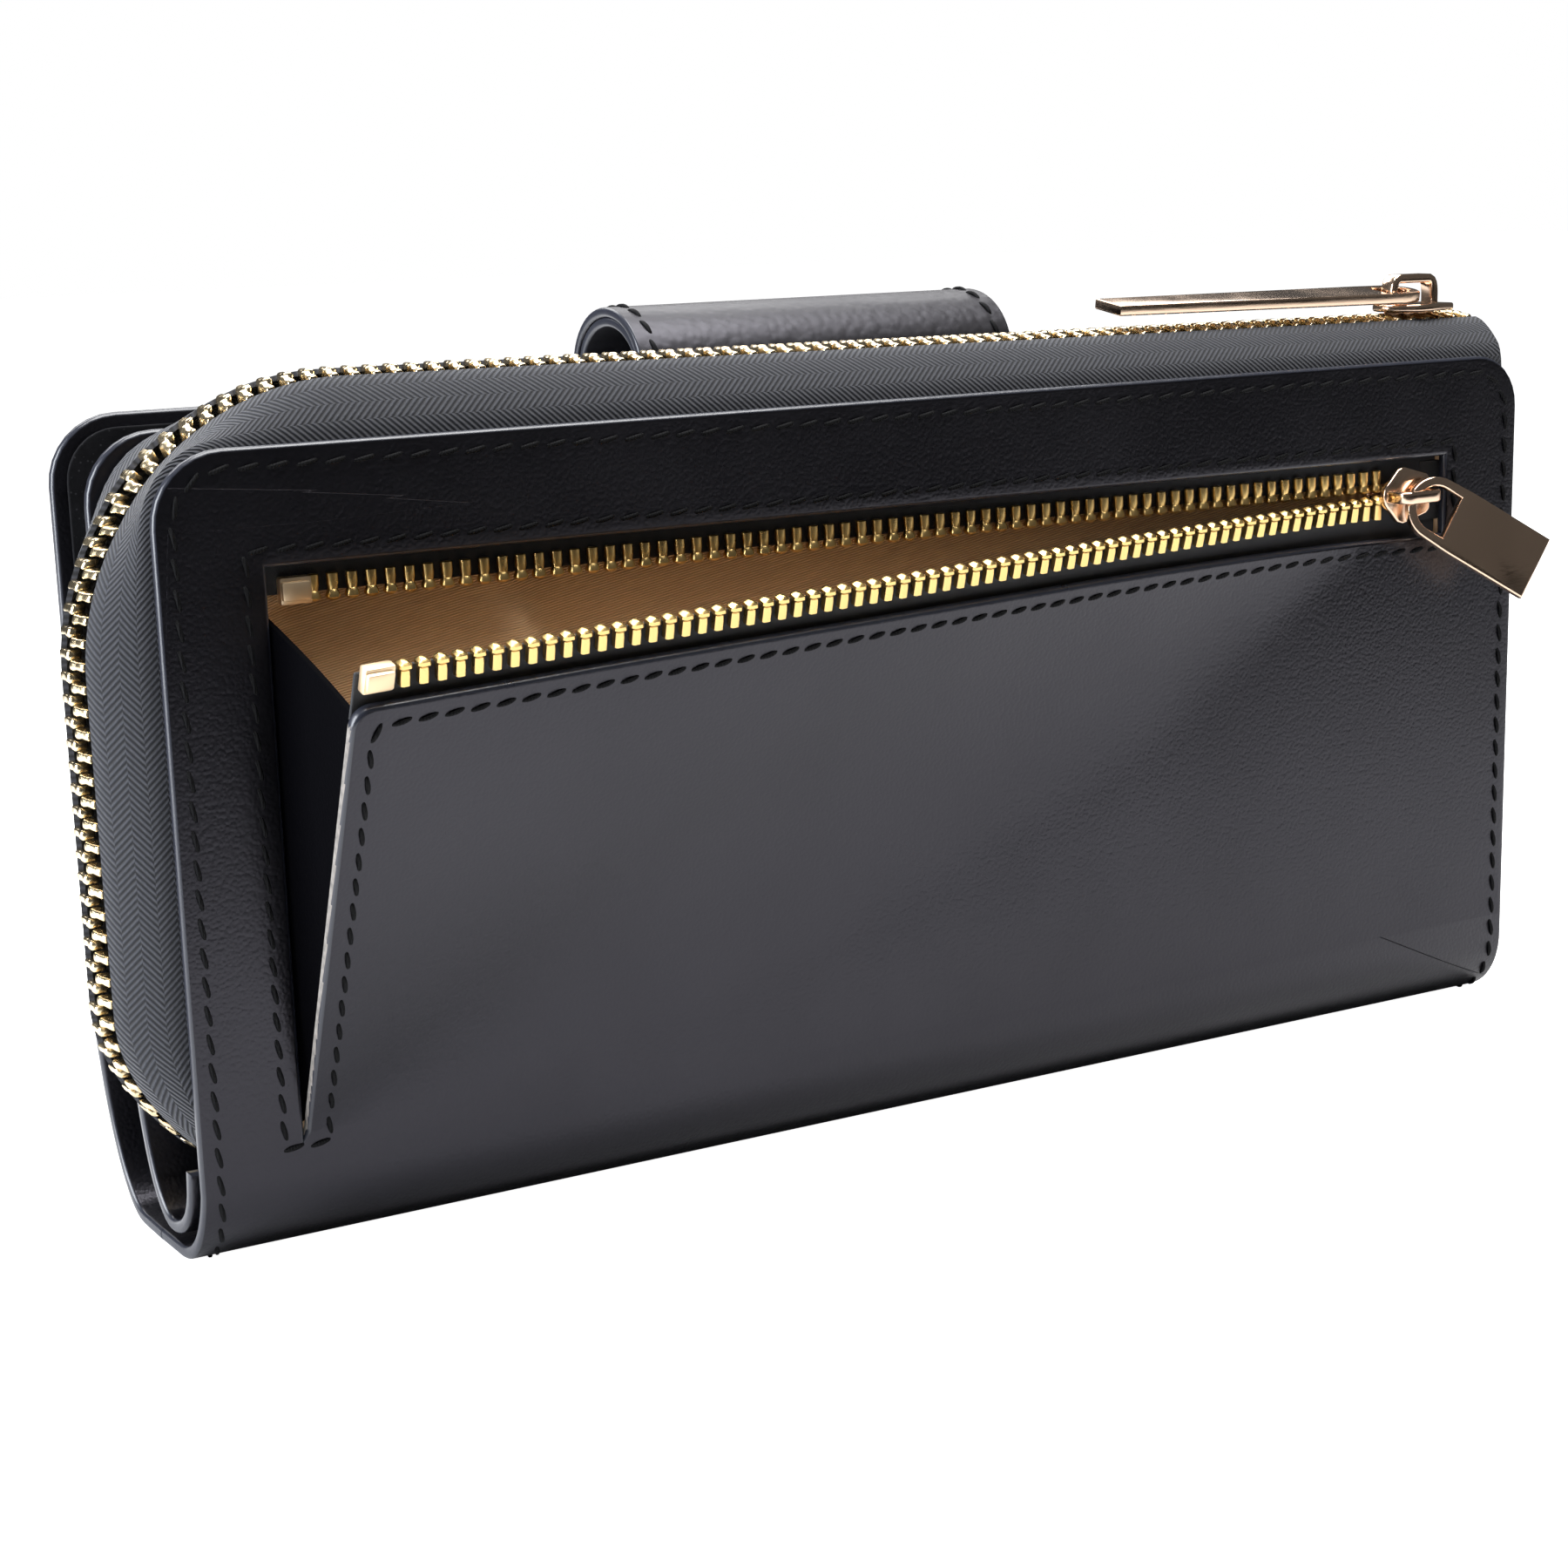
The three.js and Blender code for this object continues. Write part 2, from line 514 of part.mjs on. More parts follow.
// A puller lying along +X from the bar that the slider's bridge holds at X 0.
function pullerBody({ bar, eye, eyeWidth, wide, length, thickness, tip }) {
  const outline = new THREE.Shape();
  const half = wide / 2;
  const eyeHalf = eyeWidth / 2;
  outline.moveTo(-bar / 2, 0);
  outline.absarc(eyeHalf + bar / 2, 0, eyeHalf + bar, Math.PI, 1.5 * Math.PI, false);
  outline.lineTo(eye + bar, -half);
  outline.lineTo(length, -tip / 2);
  outline.lineTo(length, tip / 2);
  outline.lineTo(eye + bar, half);
  outline.lineTo(eyeHalf + bar / 2, eyeHalf + bar);
  outline.absarc(eyeHalf + bar / 2, 0, eyeHalf + bar, Math.PI / 2, Math.PI, false);
  const hole = new THREE.Path();
  hole.moveTo(eye, -eyeHalf);
  hole.lineTo(eye, eyeHalf);
  hole.lineTo(eyeHalf + bar / 2, eyeHalf);
  hole.absarc(eyeHalf + bar / 2, 0, eyeHalf, Math.PI / 2, 1.5 * Math.PI, false);
  outline.holes.push(hole);
  const geometry = new THREE.ExtrudeGeometry(outline, {
    depth: thickness, bevelEnabled: false, curveSegments: 6,
  });
  return geometry.translate(0, 0, -thickness / 2);
}

const COIN_CHAIN_Y = (rowFront + rowBack) / 2;
const coinSlider = new THREE.Group();
coinSlider.position.set(COIN_SLIDER_X, COIN_CHAIN_Y, COIN_CHAIN_Z);
coinSlider.rotation.x = Math.PI / 2;
backHalf.add(coinSlider);
const coinBridge = { reach: 7.2, rise: 3.8, bar: 1.1, width: 1.6 };
add('coin_slider', sliderBody({
  length: 8, wide: 7.6, narrow: 5.4, chain: COIN_ROW_DEPTH, bridge: coinBridge,
}), 'roseGold', coinSlider);
const coinPuller = new THREE.Group();
coinPuller.position.set(0, 0, COIN_ROW_DEPTH / 2 + GAP + SLIDER_PLATE + 1.18);
coinPuller.rotation.set(0, -COIN_PULLER_LIFT, -COIN_PULLER_DROOP, 'ZYX');
coinSlider.add(coinPuller);
add('coin_puller', pullerBody({
  bar: 1.3, eye: 6.2, eyeWidth: 6, wide: 9, length: 20.5, thickness: 1.3, tip: 9,
}), 'roseGold', coinPuller);

const mainSlider = new THREE.Group();
const crestZ = (x) => BACK_HEIGHT + CREST_RISE + CREST_SLOPE * x;
mainSlider.position.set(MAIN_SLIDER_X, CREST_Y, crestZ(MAIN_SLIDER_X));
mainSlider.rotation.y = -Math.atan(CREST_SLOPE);
wallet.add(mainSlider);
const mainBridge = { reach: 8.4, rise: 4.2, bar: 1.2, width: 2.4 };
add('main_slider', sliderBody({
  length: 11, wide: 8.6, narrow: 6.6, chain: CHAIN_THICKNESS, bridge: mainBridge,
}), 'roseGold', mainSlider);
const mainPuller = new THREE.Group();
mainPuller.position.set(0, 0, CHAIN_THICKNESS / 2 + GAP + SLIDER_PLATE + 1.3);
mainPuller.rotation.set(MAIN_PULLER_ROLL, 0, 0);
mainSlider.add(mainPuller);
const mainPullerShape = pullerBody({
  bar: 1.4, eye: 6, eyeWidth: 4, wide: 7, length: MAIN_PULLER_LENGTH, thickness: 1.4, tip: 5.6,
});
mainPullerShape.rotateZ(Math.PI);
add('main_puller', mainPullerShape, 'roseGold', mainPuller);

// ---- front cover ----
const coverLeft = -HALF_LENGTH - COVER_OVERHANG;
const coverBack = HALF_DEPTH - COVER_LEATHER;
const coverFoot = SPINE_FRONT_RISE + GAP;
const coverOutline = roundedRect(coverLeft, coverFoot, HALF_LENGTH, COVER_HEIGHT,
  [0, 0, CORNER_RADIUS, CORNER_RADIUS]);
add('front_cover', sheet(coverOutline, coverBack, HALF_DEPTH), 'blackLeather');
const boardOutline = roundedRect(coverLeft + 4, coverFoot + 3, HALF_LENGTH - 4, COVER_HEIGHT - 4,
  [2, 2, 5, 5]);
add('cover_board', sheet(boardOutline, coverBack - 0.7, coverBack - GAP, 2), 'board');
const coverLiningOutline = roundedRect(coverLeft + 1.5, coverFoot + 1, HALF_LENGTH - 1.5,
  COVER_HEIGHT - 1.5, [2, 2, 7, 7]);
add('cover_lining', sheet(coverLiningOutline, coverBack - 1.5, coverBack - 1, 3), 'suede');
for (let i = 0; i < 2; i += 1) {
  const y = coverBack - 1.8 - i * (POCKET_SHEET + GAP);
  const outline = roundedRect(coverLeft + 4, coverFoot + 2, HALF_LENGTH - 4, 78 - i * 14, [2, 2, 2, 2]);
  add(`cover_card_pocket_${i + 1}`, sheet(outline, y - POCKET_SHEET, y, 2), 'blackLeather');
}

// ---- tab: a padded strap rooted on the divider, over the top and down the cover ----
const tabMiddle = 9.6;
const tabFace = HALF_DEPTH + 1.2 + TAB_LEATHER;
const anchorY = DIVIDER_Y + DIVIDER_LEATHER + GAP;
const anchorOutline = roundedRect(TAB_LEFT, 82, TAB_RIGHT, 91, [2, 2, 0, 0]);
add('tab_anchor', sheet(anchorOutline, anchorY, anchorY + TAB_LEATHER, 2), 'blackLeather');
const tabLine = [
  [tabFace, TAB_END_Z],
  [tabFace, 90],
  ...arcPoints(tabMiddle, 94, tabFace - tabMiddle + 0.2, 7.8, 0.15, Math.PI * 0.93, 10),
  [1.2, 95.2],
  [2.6, 93.4],
  [3.5, 91.3],
];
add('tab_strap', wrap(tabLine, TAB_LEATHER, () => TAB_LEFT, () => TAB_RIGHT), 'blackLeather');
const magnet = new THREE.CylinderGeometry(6, 6, 0.5, 24);
magnet.translate((TAB_LEFT + TAB_RIGHT) / 2, HALF_DEPTH + GAP + 0.25, TAB_END_Z + 9);
add('cover_magnet', magnet, 'steel');

export default wallet;
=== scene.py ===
"""The zip around wallet's looks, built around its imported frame.

Metres, +Z up. X runs along the wallet, -Y is the back with the coin pocket.
"""
import json
import math

import bmesh
import bpy
import numpy as np
from mathutils import Matrix, Vector


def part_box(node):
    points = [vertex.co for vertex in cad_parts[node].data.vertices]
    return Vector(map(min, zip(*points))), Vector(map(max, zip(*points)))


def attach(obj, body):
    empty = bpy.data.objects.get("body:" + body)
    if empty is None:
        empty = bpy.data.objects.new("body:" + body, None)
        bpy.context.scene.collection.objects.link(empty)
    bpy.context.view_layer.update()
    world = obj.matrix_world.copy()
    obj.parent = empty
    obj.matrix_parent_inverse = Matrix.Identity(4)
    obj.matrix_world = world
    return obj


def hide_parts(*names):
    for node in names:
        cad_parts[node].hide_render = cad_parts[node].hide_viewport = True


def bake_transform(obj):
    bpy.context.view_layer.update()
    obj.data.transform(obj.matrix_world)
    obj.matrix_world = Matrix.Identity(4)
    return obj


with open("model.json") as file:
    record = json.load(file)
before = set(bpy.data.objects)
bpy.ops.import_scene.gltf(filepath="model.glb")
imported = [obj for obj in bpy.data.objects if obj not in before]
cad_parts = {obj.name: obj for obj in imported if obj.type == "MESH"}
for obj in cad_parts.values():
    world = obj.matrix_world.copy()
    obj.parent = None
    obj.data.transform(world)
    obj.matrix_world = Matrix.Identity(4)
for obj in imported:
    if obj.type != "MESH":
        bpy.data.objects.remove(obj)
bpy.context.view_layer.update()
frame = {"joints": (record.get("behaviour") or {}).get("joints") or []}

# ---- camera, floor and studio light ----
# A long lens looks down a little on the wallet's back from its left end. The floor and the surround look
# plain white to the camera. Three soft boxes and the floor's painted pool of light, white near the wallet and
# near black farther out, shape what the leather mirrors.
MM = 0.001


def aim(obj, place, target, roll=0.0):
    look = (Vector(target) - Vector(place)).to_track_quat("-Z", "Y").to_matrix()
    turned = look @ Matrix.Rotation(math.radians(roll), 3, "Z")
    obj.matrix_world = Matrix.Translation(place) @ turned.to_4x4()


def link(name, data):
    obj = bpy.data.objects.new(name, data)
    bpy.context.scene.collection.objects.link(obj)
    return obj


camera = link("camera", bpy.data.cameras.new("camera"))
camera.data.sensor_width = 36
camera.data.lens = 63.64
aim(camera, (-0.17796, -0.29771, 0.11685), (-0.020854, -0.0155, 0.045914), roll=-1.587)
bpy.context.scene.camera = camera
bpy.context.scene.view_settings.view_transform = "Standard"


def put(tree, kind, inputs=None, **settings):
    """Adds a node. inputs maps a socket's name or number to a value or to what feeds it."""
    made = tree.nodes.new(kind)
    for key, value in settings.items():
        setattr(made, key, value)
    for key, value in (inputs or {}).items():
        if isinstance(value, bpy.types.NodeSocket):
            tree.links.new(value, made.inputs[key])
        else:
            made.inputs[key].default_value = value
    return made


def new_material(name):
    """A material with its Principled BSDF, and the tree to add to."""
    material = bpy.data.materials.new(name)
    material.use_nodes = True
    return material, material.node_tree, material.node_tree.nodes["Principled BSDF"]


def flat_card(name, place, size, target, colour, glow=0.0):
    mesh = bpy.data.meshes.new(name)
    half_x, half_y = size[0] / 2, size[1] / 2
    corners = [(-half_x, -half_y, 0), (half_x, -half_y, 0), (half_x, half_y, 0), (-half_x, half_y, 0)]
    mesh.from_pydata(corners, [], [(0, 1, 2, 3)])
    card = link(name, mesh)
    material, _, shader = new_material(name)
    shader.inputs["Base Color"].default_value = (*colour, 1)
    shader.inputs["Roughness"].default_value = 0.9
    shader.inputs["Specular IOR Level"].default_value = 0.0
    shader.inputs["Emission Color"].default_value = (*colour, 1)
    shader.inputs["Emission Strength"].default_value = glow
    mesh.materials.append(material)
    if target:
        aim(card, place, target)
    else:
        card.location = place
    return card


floor = flat_card("floor", (0, 0, 0), (6, 6), None, (1.0, 1.0, 1.0))


def whiten_for_the_eye(tree, dim, bright):
    """Gives the bright value where the surface is looked at, and the dim one to its light."""
    seen = put(tree, "ShaderNodeLightPath").outputs["Is Camera Ray"]
    return put(tree, "ShaderNodeMapRange", {"Value": seen, "To Min": dim, "To Max": bright}).outputs[0]


def shade_floor(tree):
    """A painted pool of light on the floor: its colour fades from white near the wallet to near black towards
    the camera, and the fade comes closer to the wallet at the left end.
    """
    shader = tree.nodes["Principled BSDF"]
    tree.links.new(whiten_for_the_eye(tree, 0.0, 1.0), shader.inputs["Emission Strength"])
    spot = put(tree, "ShaderNodeTexCoord").outputs["Object"]
    reach = put(tree, "ShaderNodeVectorMath", {0: spot, 1: (0.25, 1.0, 0.0)}, operation="DOT_PRODUCT")
    # Painted pool of light: the floor's colour is white near the wallet and near black farther out, for the
    # leather to mirror.
    painted_light_pool = put(tree, "ShaderNodeMapRange", {"Value": reach.outputs["Value"], "From Min": -0.27,
                                             "From Max": -0.15, "To Min": 0.03, "To Max": 0.8},
                interpolation_type="SMOOTHSTEP")
    tree.links.new(painted_light_pool.outputs[0], shader.inputs["Base Color"])


shade_floor(floor.data.materials[0].node_tree)


def soft_box(name, place, target, size, power, colour=(1, 1, 1)):
    data = bpy.data.lights.new(name, "AREA")
    data.shape = "RECTANGLE"
    data.size, data.size_y = size
    data.energy = power
    data.color = colour
    aim(link(name, data), place, target)


soft_box("top_box", (0.05, -0.05, 0.6), (0.03, -0.12, 0), (0.5, 0.4), 7.0)
soft_box("left_box", (-0.6, 0.05, 0.2), (-0.1, 0, 0.05), (0.35, 0.5), 7.0, (0.9, 0.94, 1.0))
soft_box("back_box", (0.1, 0.5, 0.5), (0, 0, 0.08), (0.8, 0.3), 3.0)

world = bpy.data.worlds.new("studio")
world.use_nodes = True
world_light = world.node_tree.nodes["Background"]
world_light.inputs["Color"].default_value = (1, 1, 1, 1)
world.node_tree.links.new(whiten_for_the_eye(world.node_tree, 0.085, 1.0), world_light.inputs["Strength"])
bpy.context.scene.world = world

# ---- back leather: panel, coin flap and the fold under the wallet ----
# One hide of smooth black calf, cut in two along a line above the fold under the wallet. The coin flap is cut
# free along an L and bends on a diagonal. Its edges are rounded over and painted.
LENGTH_HALF = -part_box("back_panel")[0].x
BACK_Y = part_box("back_panel")[0].y
BACK_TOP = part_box("back_panel")[1].z
CORNER = 8 * MM
HIDE = 1.5 * MM
EDGE = 0.55 * MM
BEND_Z = 9 * MM
SPINE_MIDDLE_Y = -2 * MM
PANEL_FOOT_Z = 12 * MM
WINDOW = {"left": -83 * MM, "right": 82.3 * MM, "top": 77.6 * MM, "foot": 14 * MM}
FLAP = {"left": -82.6 * MM, "top": 67.1 * MM, "left_top": 68.3 * MM, "corner": 2.4 * MM}
FOLD_END = Vector((76 * MM, 72 * MM))
FLAP_ANGLE = math.radians(22.5)
FOLD_BAND = 14 * MM


def arc(cx, cy, radius, start, end, steps=8):
    """Points of an arc, angles in degrees."""
    angles = [math.radians(start + (end - start) * i / steps) for i in range(steps + 1)]
    return [(cx + radius * math.cos(a), cy + radius * math.sin(a)) for a in angles]


def outline_box(left, low, right, high, radii):
    """A rectangle with round corners; radii run low left, low right, high right, high left."""
    a, b, c, d = radii
    points = arc(left + a, low + a, a, 180, 270) if a else [(left, low)]
    points += arc(right - b, low + b, b, 270, 360) if b else [(right, low)]
    points += arc(right - c, high - c, c, 0, 90) if c else [(right, high)]
    points += arc(left + d, high - d, d, 90, 180) if d else [(left, high)]
    return points


def slab(name, outlines, thickness, edge):
    """A flat sheet with rounded edges. Its face is at 0 and it goes down to -thickness.
    Its edges take the second material."""
    curve = bpy.data.curves.new(name, "CURVE")
    curve.dimensions = "2D"
    curve.fill_mode = "BOTH"
    curve.extrude = thickness / 2 - edge
    curve.bevel_depth = edge
    curve.bevel_resolution = 3
    curve.offset = -edge
    for points in outlines:
        spline = curve.splines.new("POLY")
        spline.points.add(len(points) - 1)
        for place, (u, v) in zip(spline.points, points):
            place.co = (u, v, 0, 1)
        spline.use_cyclic_u = True
    draft = link(name + "_draft", curve)
    bpy.context.view_layer.update()
    mesh = bpy.data.meshes.new_from_object(draft.evaluated_get(bpy.context.evaluated_depsgraph_get()))
    bpy.data.objects.remove(draft)
    mesh.name = name
    mesh.transform(Matrix.Translation((0, 0, -thickness / 2)))
    work = bmesh.new()
    work.from_mesh(mesh)
    bmesh.ops.remove_doubles(work, verts=work.verts, dist=1e-6)
    bmesh.ops.recalc_face_normals(work, faces=work.faces)
    for face in work.faces:
        face.material_index = 0 if abs(face.normal.z) > 0.9 else 1
    work.to_mesh(mesh)
    work.free()
    return mesh


def rule(mesh, cuts):
    """Cuts a flat mesh along lines, each a point and a direction across the line."""
    work = bmesh.new()
    work.from_mesh(mesh)
    for place, across in cuts:
        everything = [*work.verts, *work.edges, *work.faces]
        bmesh.ops.bisect_plane(
            work, geom=everything, plane_co=(*place, 0), plane_no=(*across, 0), dist=1e-7)
    bmesh.ops.triangulate(work, faces=work.faces)
    work.to_mesh(mesh)
    work.free()


def trim(mesh, place, across):
    """Cuts a flat mesh off square, with a plain closed end, on the side that across points to."""
    work = bmesh.new()
    work.from_mesh(mesh)
    everything = [*work.verts, *work.edges, *work.faces]
    cut = bmesh.ops.bisect_plane(work, geom=everything, plane_co=(*place, 0), plane_no=(*across, 0),
                                 dist=1e-7, clear_outer=True)
    rim = [part for part in cut["geom_cut"] if isinstance(part, bmesh.types.BMEdge)]
    bmesh.ops.edgeloop_fill(work, edges=rim, mat_nr=0)
    bmesh.ops.recalc_face_normals(work, faces=work.faces)
    work.to_mesh(mesh)
    work.free()


def grid_cuts(low, high, step):
    """Cuts along both directions of a flat box."""
    across = [((u, 0), (1, 0)) for u in np.arange(low[0] + step / 2, high[0], step)]
    along = [((0, v), (0, 1)) for v in np.arange(low[1] + step / 2, high[1], step)]
    return across + along


def keep_flat_place(mesh):
    """Writes each corner's flat place to the UV map that the patterns follow."""
    flat = mesh.uv_layers.new(name="flat")
    for loop in mesh.loops:
        place = mesh.vertices[loop.vertex_index].co
        flat.data[loop.index].uv = (place.x, place.y)


def bend(mesh, place, smooth=40):
    """Moves every flat point (u, v, w) to its place on the wallet, w out of the face."""
    for vertex in mesh.vertices:
        vertex.co = place(*vertex.co)
    mesh.shade_smooth()
    mesh.set_sharp_from_angle(angle=math.radians(smooth))


def dress(name, mesh, slot, materials, body=None, nodes=()):
    """Makes the piece, gives it its materials, parents it to the body it rides on, and hides the parts it
    stands for.
    """
    piece = link(name, mesh)
    for material in materials:
        mesh.materials.append(material)
    if body:
        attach(piece, body)
    if nodes:
        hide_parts(*nodes)
    return piece


fold_start = Vector((WINDOW["left"], WINDOW["foot"]))
fold_length = (FOLD_END - fold_start).length
fold_along = (FOLD_END - fold_start).normalized()
fold_across = Vector((-fold_along.y, fold_along.x))


def on_panel(u, v, w):
    return Vector((u, BACK_Y - w, v))


def on_flap(u, v, w):
    """The flap bends out evenly over a band beside the fold, narrow at the fold's two ends."""
    offset = Vector((u, v)) - fold_start
    run, rise = offset.dot(fold_along), offset.dot(fold_across)
    band = min(FOLD_BAND, 0.4 * MM + 0.28 * max(min(run, fold_length - run), 0))
    share = min(max((rise + band) / (2 * band), 0), 1)
    angle = FLAP_ANGLE * share
    if share > 0:
        flat_part = max(rise - band, 0)
        curl = 2 * band / FLAP_ANGLE
        height = curl * math.sin(angle) - band + flat_part * math.cos(FLAP_ANGLE)
        out = curl * (1 - math.cos(angle)) + flat_part * math.sin(FLAP_ANGLE)
    else:
        height, out = rise, 0.0
    height -= w * math.sin(angle)
    out += w * math.cos(angle)
    flat = fold_start + fold_along * run + fold_across * height
    return Vector((flat.x, BACK_Y - out, flat.y))


def is_flap(u, v):
    above = (Vector((u, v)) - fold_start).dot(fold_across) > -FOLD_BAND
    slit = WINDOW["left"] + 0.2 * MM
    return slit < u < FOLD_END.x and WINDOW["foot"] < v < 70 * MM and above


def on_back(u, v, w):
    return on_flap(u, v, w) if is_flap(u, v) else on_panel(u, v, w)


def section(points):
    """A place function for a sheet that follows a line of (y, z) points from its start."""
    line = np.array(points, float)
    steps = np.linalg.norm(np.diff(line, axis=0), axis=1)
    reach = np.concatenate([[0], np.cumsum(steps)])
    slopes = np.gradient(line, reach, axis=0)
    slopes /= np.linalg.norm(slopes, axis=1)[:, None]

    def at(distance):
        y, z = (np.interp(distance, reach, line[:, i]) for i in (0, 1))
        dy, dz = (np.interp(distance, reach, slopes[:, i]) for i in (0, 1))
        return y, z, dy, dz

    return at, reach[-1]


def ellipse(cy, cz, ry, rz, start, end, steps=16):
    angles = np.radians(np.linspace(start, end, steps + 1))
    return [(cy + ry * math.cos(a), cz + rz * math.sin(a)) for a in angles]


BACK_LINE_TOP = BACK_TOP + 5 * MM
back_fold, back_fold_length = section(
    [(BACK_Y, BACK_LINE_TOP), (BACK_Y, BEND_Z + 1 * MM)]
    + ellipse(-8 * MM, BEND_Z, -BACK_Y - 8 * MM, BEND_Z, 180, 270)
    + [(-5 * MM, 0), (SPINE_MIDDLE_Y, 0), (SPINE_MIDDLE_Y + 1 * MM, 0)])


def round_back(u, v, w):
    """v is the height on the panel, and runs on below it round the fold."""
    y, z, dy, dz = back_fold(BACK_LINE_TOP - v)
    return Vector((u, y + dz * w, z - dy * w))


def group(name, inputs, outputs):
    """A shader node group with named sockets: its tree, its inputs and its outputs."""
    tree = bpy.data.node_groups.new(name, "ShaderNodeTree")
    for socket, kind, value in inputs:
        made = tree.interface.new_socket(socket, in_out="INPUT", socket_type="NodeSocket" + kind)
        if value is not None:
            made.default_value = value
    for socket in outputs:
        tree.interface.new_socket(socket, in_out="OUTPUT", socket_type="NodeSocketFloat")
    return tree, tree.nodes.new("NodeGroupInput").outputs, tree.nodes.new("NodeGroupOutput").inputs


def maths(tree, operation, first, second=0.0, clamp=False):
    return put(tree, "ShaderNodeMath", {0: first, 1: second}, operation=operation,
               use_clamp=clamp).outputs[0]


def place_group(tree, source, values):
    return put(tree, "ShaderNodeGroup", values, node_tree=source).outputs


def add_relief(tree, shader, height, **values):
    """Bends the light as if the surface stood up by the height."""
    bump = put(tree, "ShaderNodeBump", {"Height": height, **values})
    tree.links.new(bump.outputs[0], shader.inputs["Normal"])


def mix_tones(tree, factor, dark, pale):
    """Mixes two tones, each a colour or what feeds it."""
    first, second = (end if isinstance(end, bpy.types.NodeSocket) else (*end, 1) for end in (dark, pale))
    return put(tree, "ShaderNodeMix", {"Factor": factor, "A": first, "B": second},
               data_type="RGBA").outputs["Result"]


def build_grain():
    """Hide grain: small cells with soft creases between them, over slow unevenness."""
    tree, given, result = group(
        "hide_grain", [("Place", "Vector", None), ("Cell", "Float", 0.0006)], ["Height", "Patch"])
    scale = maths(tree, "DIVIDE", 1.0, given["Cell"])
    wander = put(tree, "ShaderNodeTexNoise", {"Vector": given["Place"], "Scale": 900.0, "Detail": 2.0})
    nudge = put(tree, "ShaderNodeVectorMath", {0: wander.outputs["Color"], "Scale": 0.00016},
                operation="SCALE")
    spot = put(tree, "ShaderNodeVectorMath", {0: given["Place"], 1: nudge.outputs[0]}, operation="ADD")
    cells = put(tree, "ShaderNodeTexVoronoi", {"Vector": spot.outputs[0], "Scale": scale},
                feature="SMOOTH_F1")
    creases = maths(tree, "POWER", cells.outputs["Distance"], 1.6)
    slow = put(tree, "ShaderNodeTexNoise", {"Vector": given["Place"], "Scale": 38.0, "Detail": 3.0})
    tree.links.new(maths(tree, "SUBTRACT", 1.0, creases), result["Height"])
    tree.links.new(slow.outputs["Fac"], result["Patch"])
    return tree


def build_seam():
    """The groove a lock stitch pulls into leather, with a needle hole at every pitch."""
    tree, given, result = group(
        "seam_groove",
        [("Flat", "Vector", None), ("Start", "Vector", None), ("Along", "Vector", None),
         ("Across", "Vector", None), ("Length", "Float", 0.1), ("Pitch", "Float", 0.0032)],
        ["Groove", "Hole"])
    offset = put(tree, "ShaderNodeVectorMath", {0: given["Flat"], 1: given["Start"]},
                 operation="SUBTRACT").outputs[0]
    run, side = (put(tree, "ShaderNodeVectorMath", {0: offset, 1: given[way]},
                     operation="DOT_PRODUCT").outputs["Value"] for way in ("Along", "Across"))
    begins = maths(tree, "GREATER_THAN", run, 0.0)
    ends = maths(tree, "LESS_THAN", run, given["Length"])
    inside = maths(tree, "MULTIPLY", begins, ends)
    width = maths(tree, "ABSOLUTE", side)
    wall = put(tree, "ShaderNodeMapRange", {"Value": width, "From Min": 0.0009, "From Max": 0.0001},
               interpolation_type="SMOOTHSTEP").outputs[0]
    phase = maths(tree, "SUBTRACT", maths(tree, "FRACT", maths(tree, "DIVIDE", run, given["Pitch"])), 0.5)
    step = maths(tree, "MULTIPLY", phase, given["Pitch"])
    far = maths(tree, "SQRT", maths(tree, "ADD", maths(tree, "MULTIPLY", step, step),
                                    maths(tree, "MULTIPLY", side, side)))
    pit = put(tree, "ShaderNodeMapRange", {"Value": far, "From Min": 0.00055, "From Max": 0.0002},
              interpolation_type="SMOOTHSTEP").outputs[0]
    tree.links.new(maths(tree, "MULTIPLY", wall, inside), result["Groove"])
    tree.links.new(maths(tree, "MULTIPLY", pit, inside), result["Hole"])
    return tree


hide_grain = build_grain()
seam_groove = build_seam()


def leather(name, seams=(), cell=0.00042, depth=0.00004, colour=(0.0018, 0.0018, 0.0026),
            rough=(0.27, 0.36), pitch=3.24 * MM, shine=0.5):
    """Black hide with its grain, and a groove under each seam given as two flat points."""
    material, tree, shader = new_material(name)
    shader.inputs["Base Color"].default_value = (*colour, 1)
    shader.inputs["Specular IOR Level"].default_value = shine
    shader.inputs["Specular Tint"].default_value = (0.9, 0.87, 1.0, 1)
    spot = put(tree, "ShaderNodeTexCoord").outputs
    grain = place_group(tree, hide_grain, {"Place": spot["Object"], "Cell": cell})
    height = maths(tree, "MULTIPLY", grain["Height"], depth)
    hole = None
    for start, end in seams:
        way = Vector(end) - Vector(start)
        run = way.normalized()
        cut = place_group(tree, seam_groove, {
            "Flat": spot["UV"], "Start": (*start, 0), "Along": (*run, 0),
            "Across": (-run.y, run.x, 0), "Length": way.length, "Pitch": pitch})
        dent = maths(tree, "ADD", maths(tree, "MULTIPLY", cut["Groove"], 0.00012),
                     maths(tree, "MULTIPLY", cut["Hole"], 0.0004))
        height = maths(tree, "SUBTRACT", height, dent)
        hole = cut["Hole"] if hole is None else maths(tree, "MAXIMUM", hole, cut["Hole"])
    add_relief(tree, shader, height, Distance=1.0, Strength=0.8)
    patch = put(tree, "ShaderNodeMapRange", {"Value": grain["Patch"], "From Min": 0.3, "From Max": 0.7,
                                             "To Min": rough[0], "To Max": rough[1]}).outputs[0]
    if hole is not None:
        patch = maths(tree, "ADD", patch, maths(tree, "MULTIPLY", hole, 0.4), clamp=True)
    tree.links.new(patch, shader.inputs["Roughness"])
    return material


